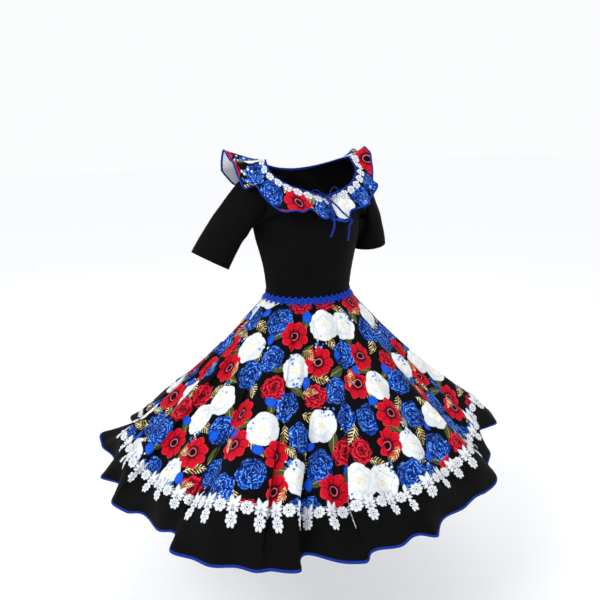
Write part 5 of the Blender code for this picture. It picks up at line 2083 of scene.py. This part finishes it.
@dataclass
class NeckEdge(Trim):
    """The white guipure laid over the frill's seam, and the blue binding on the neck edge.

    Attributes:
        lift: how far the lace stands off the frill.
        height: how far the binding reaches past the edge.
        thick: the binding's thickness.
    """

    repeats: int = 31
    pitch: float = 0.0247
    rise: float = 0.0014
    lift: float = 0.0009
    height: float = 0.005
    thick: float = 0.0027

    def drawing(self) -> LaceDrawing:
        """Draws one repeat: a small flower, with a bar to the next.

        Returns:
            The drawing.
        """
        lace = LaceDrawing("neck_lace", self.rise)
        lace.flower((0.0, -0.0095), 0.0114, 5, 90.0)
        lace.bar((0.0060, -0.0090), (self.pitch - 0.0060, -0.0090), 0.0016)
        return lace

    def build(self, bodice: Bodice, frill: Frill) -> list[Piece]:
        """Sews the binding and lays the lace.

        Args:
            bodice: the bodice.
            frill: the frill that the lace lies on.

        Returns:
            The binding and the lace.
        """
        edge = bodice.neck_edge(bodice.points)
        out = unit(bodice.neck_edge(bodice.normals))
        along = unit(np.roll(edge, -1, axis=0) - np.roll(edge, 1, axis=0))
        out = unit(out - along * (out * along).sum(axis=-1, keepdims=True))
        rise = unit(np.cross(out, along))
        rise *= np.sign(rise[:, 2:3])
        middle = edge - out * HALF_WALL
        profile = tape_profile(self.height + EDGE_GAP, self.thick / 2)
        profile = [(-down, off) for down, off in profile][::-1]
        tape = swept_ring("neck_binding_tape", middle, out, -rise, profile, BIAS.make())
        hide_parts("neck_binding")
        width = frill.width[:, 0]

        def place(spots: Array) -> Array:
            """Lays flat points on the frill.

            Args:
                spots: the flat points.

            Returns:
                The points on the cloth.
            """
            columns = self.along(frill.outer[2], spots[:, 0])
            numbers = np.arange(len(width) + 1)
            wide = np.interp(columns % len(width), numbers, np.append(width, width[0]))
            share = np.maximum(-spots[:, 1], 0.0) / wide
            rows = np.interp(share, frill.shares, np.arange(len(frill.shares)))
            out = unit(read_grid(frill.out, rows, columns))
            lifted = spots[:, 2] + self.lift
            return read_grid(frill.outer, rows, columns) + out * lifted[:, None]

        return [tape, self.laid("neck_lace", "guipure", GUIPURE.make(), place)]


@dataclass
class WaistBraid(Trim):
    """One row of blue guipure flowers over the waist seam.

    Attributes:
        spread: how far it stands off the waist.
        flare: how much further out the skirt is where it ends.
        reach: how far it reaches above the seam and below.
        columns: how many points its line round the waist has.
    """

    repeats: int = 40
    pitch: float = 0.0174
    rise: float = 0.0013
    spread: float = 0.0024
    flare: float = 0.0135
    reach: float = 0.0125
    columns: int = 320

    def drawing(self) -> LaceDrawing:
        """Draws one flower with the bar that joins it to the next.

        Returns:
            The drawing.
        """
        lace = LaceDrawing("waist_braid", self.rise)
        half = self.pitch / 2
        lace.flower((0.0, 0.0), 0.0092, 6, 90.0, tall=1.30)
        lace.bar((half - 0.0030, 0.0), (half + 0.0030, 0.0), 0.0022)
        return lace

    def build(self, bodice: Bodice) -> list[Piece]:
        """Lays the braid round the waist.

        Args:
            bodice: the bodice.

        Returns:
            The braid.
        """
        degrees = np.linspace(-180.0, 180.0, self.columns, endpoint=False)
        depth = bodice.waist_depth(degrees)
        rows = []
        for up, flare in ((self.reach, 0.0), (0.0, 0.0), (-self.reach, self.flare)):
            wide, deep = bodice.waist_half_width + self.spread + flare, depth + self.spread + flare
            rows.append(level_ring(degrees, (0.0, 0.0), wide, deep, bodice.waist_z + up))
        grid = np.array(rows)
        out = grid_normals(grid, True)

        def place(spots: Array) -> Array:
            """Lays flat points on the waist.

            Args:
                spots: the flat points.

            Returns:
                The points on the cloth.
            """
            columns = self.along(grid[1], spots[:, 0])
            down = 1 - spots[:, 1] / self.reach
            return read_grid(grid, down, columns) + unit(read_grid(out, down, columns)) * spots[:, 2:3]

        return [self.laid("waist_braid", "blue_bias", BRAID.make(), place)]


@dataclass
class Bow:
    """The satin ribbon tie at the middle of the neck: two loops, two tails and a wrapped knot.

    Attributes:
        width: the ribbon's width.
        thick: the ribbon's thickness.
        knot: half the knot's size, sideways, out and up.
        under: how much deeper the knot is towards the cloth.
        out: how far the knot's middle stands off the frill's root.
        below: how far it lies below the neck edge.
        fall: the way down the chest.
        knot_rings: how many bands of quads the knot has.
        knot_sides: how many quads go round it.
        loop_points: how many points a loop's centreline has.
        tail_points: how many points a tail's centreline has.
        clear: the least gap from a tail's middle to the frill.
        eased_in: over how many points a tail comes off the knot.
    """

    width: float = 0.006
    thick: float = 0.0009
    knot: tuple[float, float, float] = (0.0040, 0.0034, 0.0046)
    under: float = 2.15
    out: float = 0.0088
    below: float = 0.004
    fall: tuple[float, float, float] = (0.0, -0.45, -0.89)
    knot_rings: int = 12
    knot_sides: int = 20
    loop_points: int = 49
    tail_points: int = 41
    clear: float = 0.0045
    eased_in: float = 7.0

    def ribbon(self, name: str, route: Array, across: Any, finish: Finish) -> Piece:
        """Sweeps a flat ribbon with rounded edges along a route.

        Args:
            name: the piece's name.
            route: its centreline.
            across: the way over its width.
            finish: its material.

        Returns:
            The ribbon.
        """
        along = unit(np.gradient(route, axis=0))
        across = np.broadcast_to(np.asarray(across, float), route.shape)
        across = unit(across - along * (across * along).sum(axis=-1, keepdims=True))
        out = np.cross(across, along)
        half, deep = self.width / 2, self.thick / 2
        profile = [(-half, 0.0), (-half * 0.9, -deep), (0.0, -deep * 0.8), (half * 0.9, -deep)]
        profile += [(half, 0.0), (half * 0.9, deep), (0.0, deep * 0.8), (-half * 0.9, deep)]
        return swept_ring(name, route, out, across, profile[::-1], finish, closed=False)

    def knot_shape(self, centre: Array, side: Array, up: Array, rise: Array) -> tuple[Array, list]:
        """Shapes the knot: a rounded lump with the folds of the ribbon round it.

        Args:
            centre: its middle.
            side: the way across it.
            up: the way out of the cloth.
            rise: the way up the chest.

        Returns:
            Its points and its faces.
        """
        rings, around = self.knot_rings, self.knot_sides
        wide, deep, tall = self.knot
        points, faces = [], []
        for i in range(1, rings):
            tilt = math.pi * i / rings
            for k in range(around):
                turn = 2 * math.pi * k / around
                fold = 1 + 0.05 * math.cos(4 * turn + 1.0) * math.sin(tilt)
                x, y = math.sin(tilt) * math.cos(turn), math.sin(tilt) * math.sin(turn)
                y *= fold * (1.0 if y > 0 else self.under)
                spot = centre + side * x * wide + up * y * deep
                points.append(spot + rise * math.cos(tilt) * tall)
        top, bottom = len(points), len(points) + 1
        points += [centre + rise * tall, centre - rise * tall]
        for i in range(rings - 2):
            for k in range(around):
                a, b = i * around + k, i * around + (k + 1) % around
                faces.append([a, b, b + around, a + around])
        last = (rings - 2) * around
        for k in range(around):
            faces.append([top, (k + 1) % around, k])
            faces.append([bottom, last + k, last + (k + 1) % around])
        return np.array(points), faces

    def build(self, bodice: Bodice, frill: Frill) -> list[Piece]:
        """Ties the bow.

        Args:
            bodice: the bodice.
            frill: the frill that the tails hang over.

        Returns:
            The knot, the loops and the tails.
        """
        finish = RIBBON.make()
        edge = bodice.points[Face.FRONT][bodice.halves[Face.FRONT][1][bodice.side_spans, 0]]
        fall = unit(np.array(self.fall))
        up = np.array([0.0, fall[2], -fall[1]])
        rise = -fall
        side = np.array([1.0, 0.0, 0.0])
        centre = edge + up * (self.out + self.knot[1]) - rise * self.below
        points, faces = self.knot_shape(centre, side, up, rise)
        knot = add_piece("bow_knot_satin", points, faces, [finish])
        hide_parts("bow_knot")
        made = [knot]
        for name, rows in BOW_LOOPS.items():
            spots = [centre + side * x + rise * r for x, r in rows]
            route = through(spots, np.linspace(0, 1, self.loop_points))
            loop = self.ribbon(f"bow_loop_{name}_satin", route, up, finish)
            self.declare(f"bow_loop_{name}")
            made.append(loop)
        over = surface_of([(frill.outer.reshape(-1, 3), grid_quads(*frill.outer.shape[:2], True))])
        for name, (across, (x, down), rows) in BOW_TAILS.items():
            start = centre + side * x + fall * down
            route = through([start, *rows], np.linspace(0, 1, self.tail_points))
            lift = clear_of(route, over, self.clear) - route
            lift *= np.clip(np.arange(self.tail_points) / self.eased_in, 0.0, 1.0)[:, None]
            route = route + lift
            tail = self.ribbon(f"bow_tail_{name}_satin", route, across, finish)
            self.declare(f"bow_tail_{name}")
            made.append(tail)
        return made

    def declare(self, stands_for: str) -> None:
        """Hides the solid that a ribbon stands for.

        Args:
            stands_for: the solid that it stands for.
        """
        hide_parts(stands_for)


def surface_of(parts: Sequence[tuple[Array, Array]]) -> BVHTree:
    """Joins points and quads into one surface for finding what lies nearest.

    Args:
        parts: the points and the quads of each part.

    Returns:
        The surface.
    """
    points, faces = [], []
    for spots, quads in parts:
        faces += (quads + len(points)).tolist()
        points += spots.tolist()
    return BVHTree.FromPolygons(points, faces)


@dataclass
class Studio:
    """A pale floor, soft light and a camera in front, a little above and to the wearer's right.

    Attributes:
        floor_z: how high the floor is.
        camera: where the camera stands.
        tilt: how far the camera looks up from straight down, in degrees.
        turn: how far it is turned, in degrees.
        lens_mm: its focal length on a sensor 36 mm wide.
        floor_half: half the floor's width.
        aim: where the lamps shine.
        lamps: each lamp's name, place, power in watts and width.
    """

    floor_z: float = -1.38
    camera: tuple[float, float, float] = (-0.8767, -1.7976, 0.16)
    tilt: float = 74.1
    turn: float = -25.35
    lens_mm: float = 42.36
    floor_half: float = 14.0
    aim: tuple[float, float, float] = (0.0, 0.0, -0.45)
    lamps: tuple = (
        ("key_light", (-2.4, -1.5, 1.7), 40.0, 1.2),
        ("back_light", (0.4, 2.8, 1.8), 14.0, 2.6),
    )

    def build(self) -> None:
        """Sets up the floor, the lights and the camera."""
        scene = bpy.context.scene
        scene.view_settings.view_transform = "Standard"
        finish, _, _ = started("pale_floor", {"Base Color": linear("#fdfdfe"), "Roughness": 0.9})
        half = self.floor_half
        corners = [(x * half, y * half, self.floor_z) for x, y in ((-1, -1), (1, -1), (1, 1), (-1, 1))]
        floor = loose("studio_floor", corners, faces=[[0, 1, 2, 3]])
        floor.data.materials.append(finish)
        world = bpy.data.worlds.new("pale_room")
        world.use_nodes = True
        back = world.node_tree.nodes["Background"]
        back.inputs["Color"].default_value = linear("#fbfcfd")
        back.inputs["Strength"].default_value = 1.0
        scene.world = world
        for name, spot, power, wide in self.lamps:
            lamp = bpy.data.lights.new(name, "AREA")
            lamp.energy = power
            lamp.size = wide
            holder = linked(name, lamp)
            holder.location = spot
            beam = Vector(self.aim) - Vector(spot)
            holder.rotation_euler = beam.to_track_quat("-Z", "Y").to_euler()
        lens = bpy.data.cameras.new("camera")
        lens.lens = self.lens_mm
        lens.sensor_width = 36.0
        camera = linked("camera", lens)
        camera.location = self.camera
        camera.rotation_euler = (math.radians(self.tilt), 0.0, math.radians(self.turn))
        scene.camera = camera


SLEEVES = (
    Sleeve(
        "sleeve_right",
        side=-1,
        cuff=(-0.297, -0.005, -0.262),
        radius=0.056,
        leaving=(0.76, -0.58),
        creases=(
            (0.20, 60, 0.5, 0.0016), (0.35, 320, -0.4, 0.0014),
            (0.62, 110, 0.3, 0.0010), (0.70, 250, -0.5, 0.0010),
        ),
    ),
    Sleeve(
        "sleeve_left",
        side=1,
        cuff=(0.212, 0.022, -0.262),
        radius=0.054,
        leaving=(0.40, -0.86),
        creases=(
            (0.22, 55, -0.4, 0.0015), (0.42, 300, 0.5, 0.0013),
            (0.60, 140, 0.4, 0.0011), (0.75, 230, -0.3, 0.0009),
        ),
    ),
)


def main() -> None:
    """Dresses the solids, piece by piece, and notes the size."""
    logging.basicConfig(level=logging.INFO, format="%(message)s")
    bodice = Bodice()
    made = bodice.build()
    arms = []
    for sleeve in SLEEVES:
        made += sleeve.build(bodice)
        grid = sleeve.surface(bodice.armhole(sleeve.side, bodice.points))
        arms.append((grid.reshape(-1, 3), grid_quads(*grid.shape[:2], True)))
    skirt = Skirt(bodice)
    made += skirt.build() + SkirtLace().build(skirt)
    worn = surface_of([(bodice.points[face], bodice.quads[face]) for face in Face] + arms)
    frill = Frill()
    frill.lay(bodice, worn)
    made += frill.build() + NeckEdge().build(bodice, frill)
    made += WaistBraid().build(bodice) + Bow().build(bodice, frill)
    for piece in made:
        log.info("%s: %d faces", piece.name, len(piece.data.polygons))
    Studio().build()


if __name__ == "__main__":
    main()
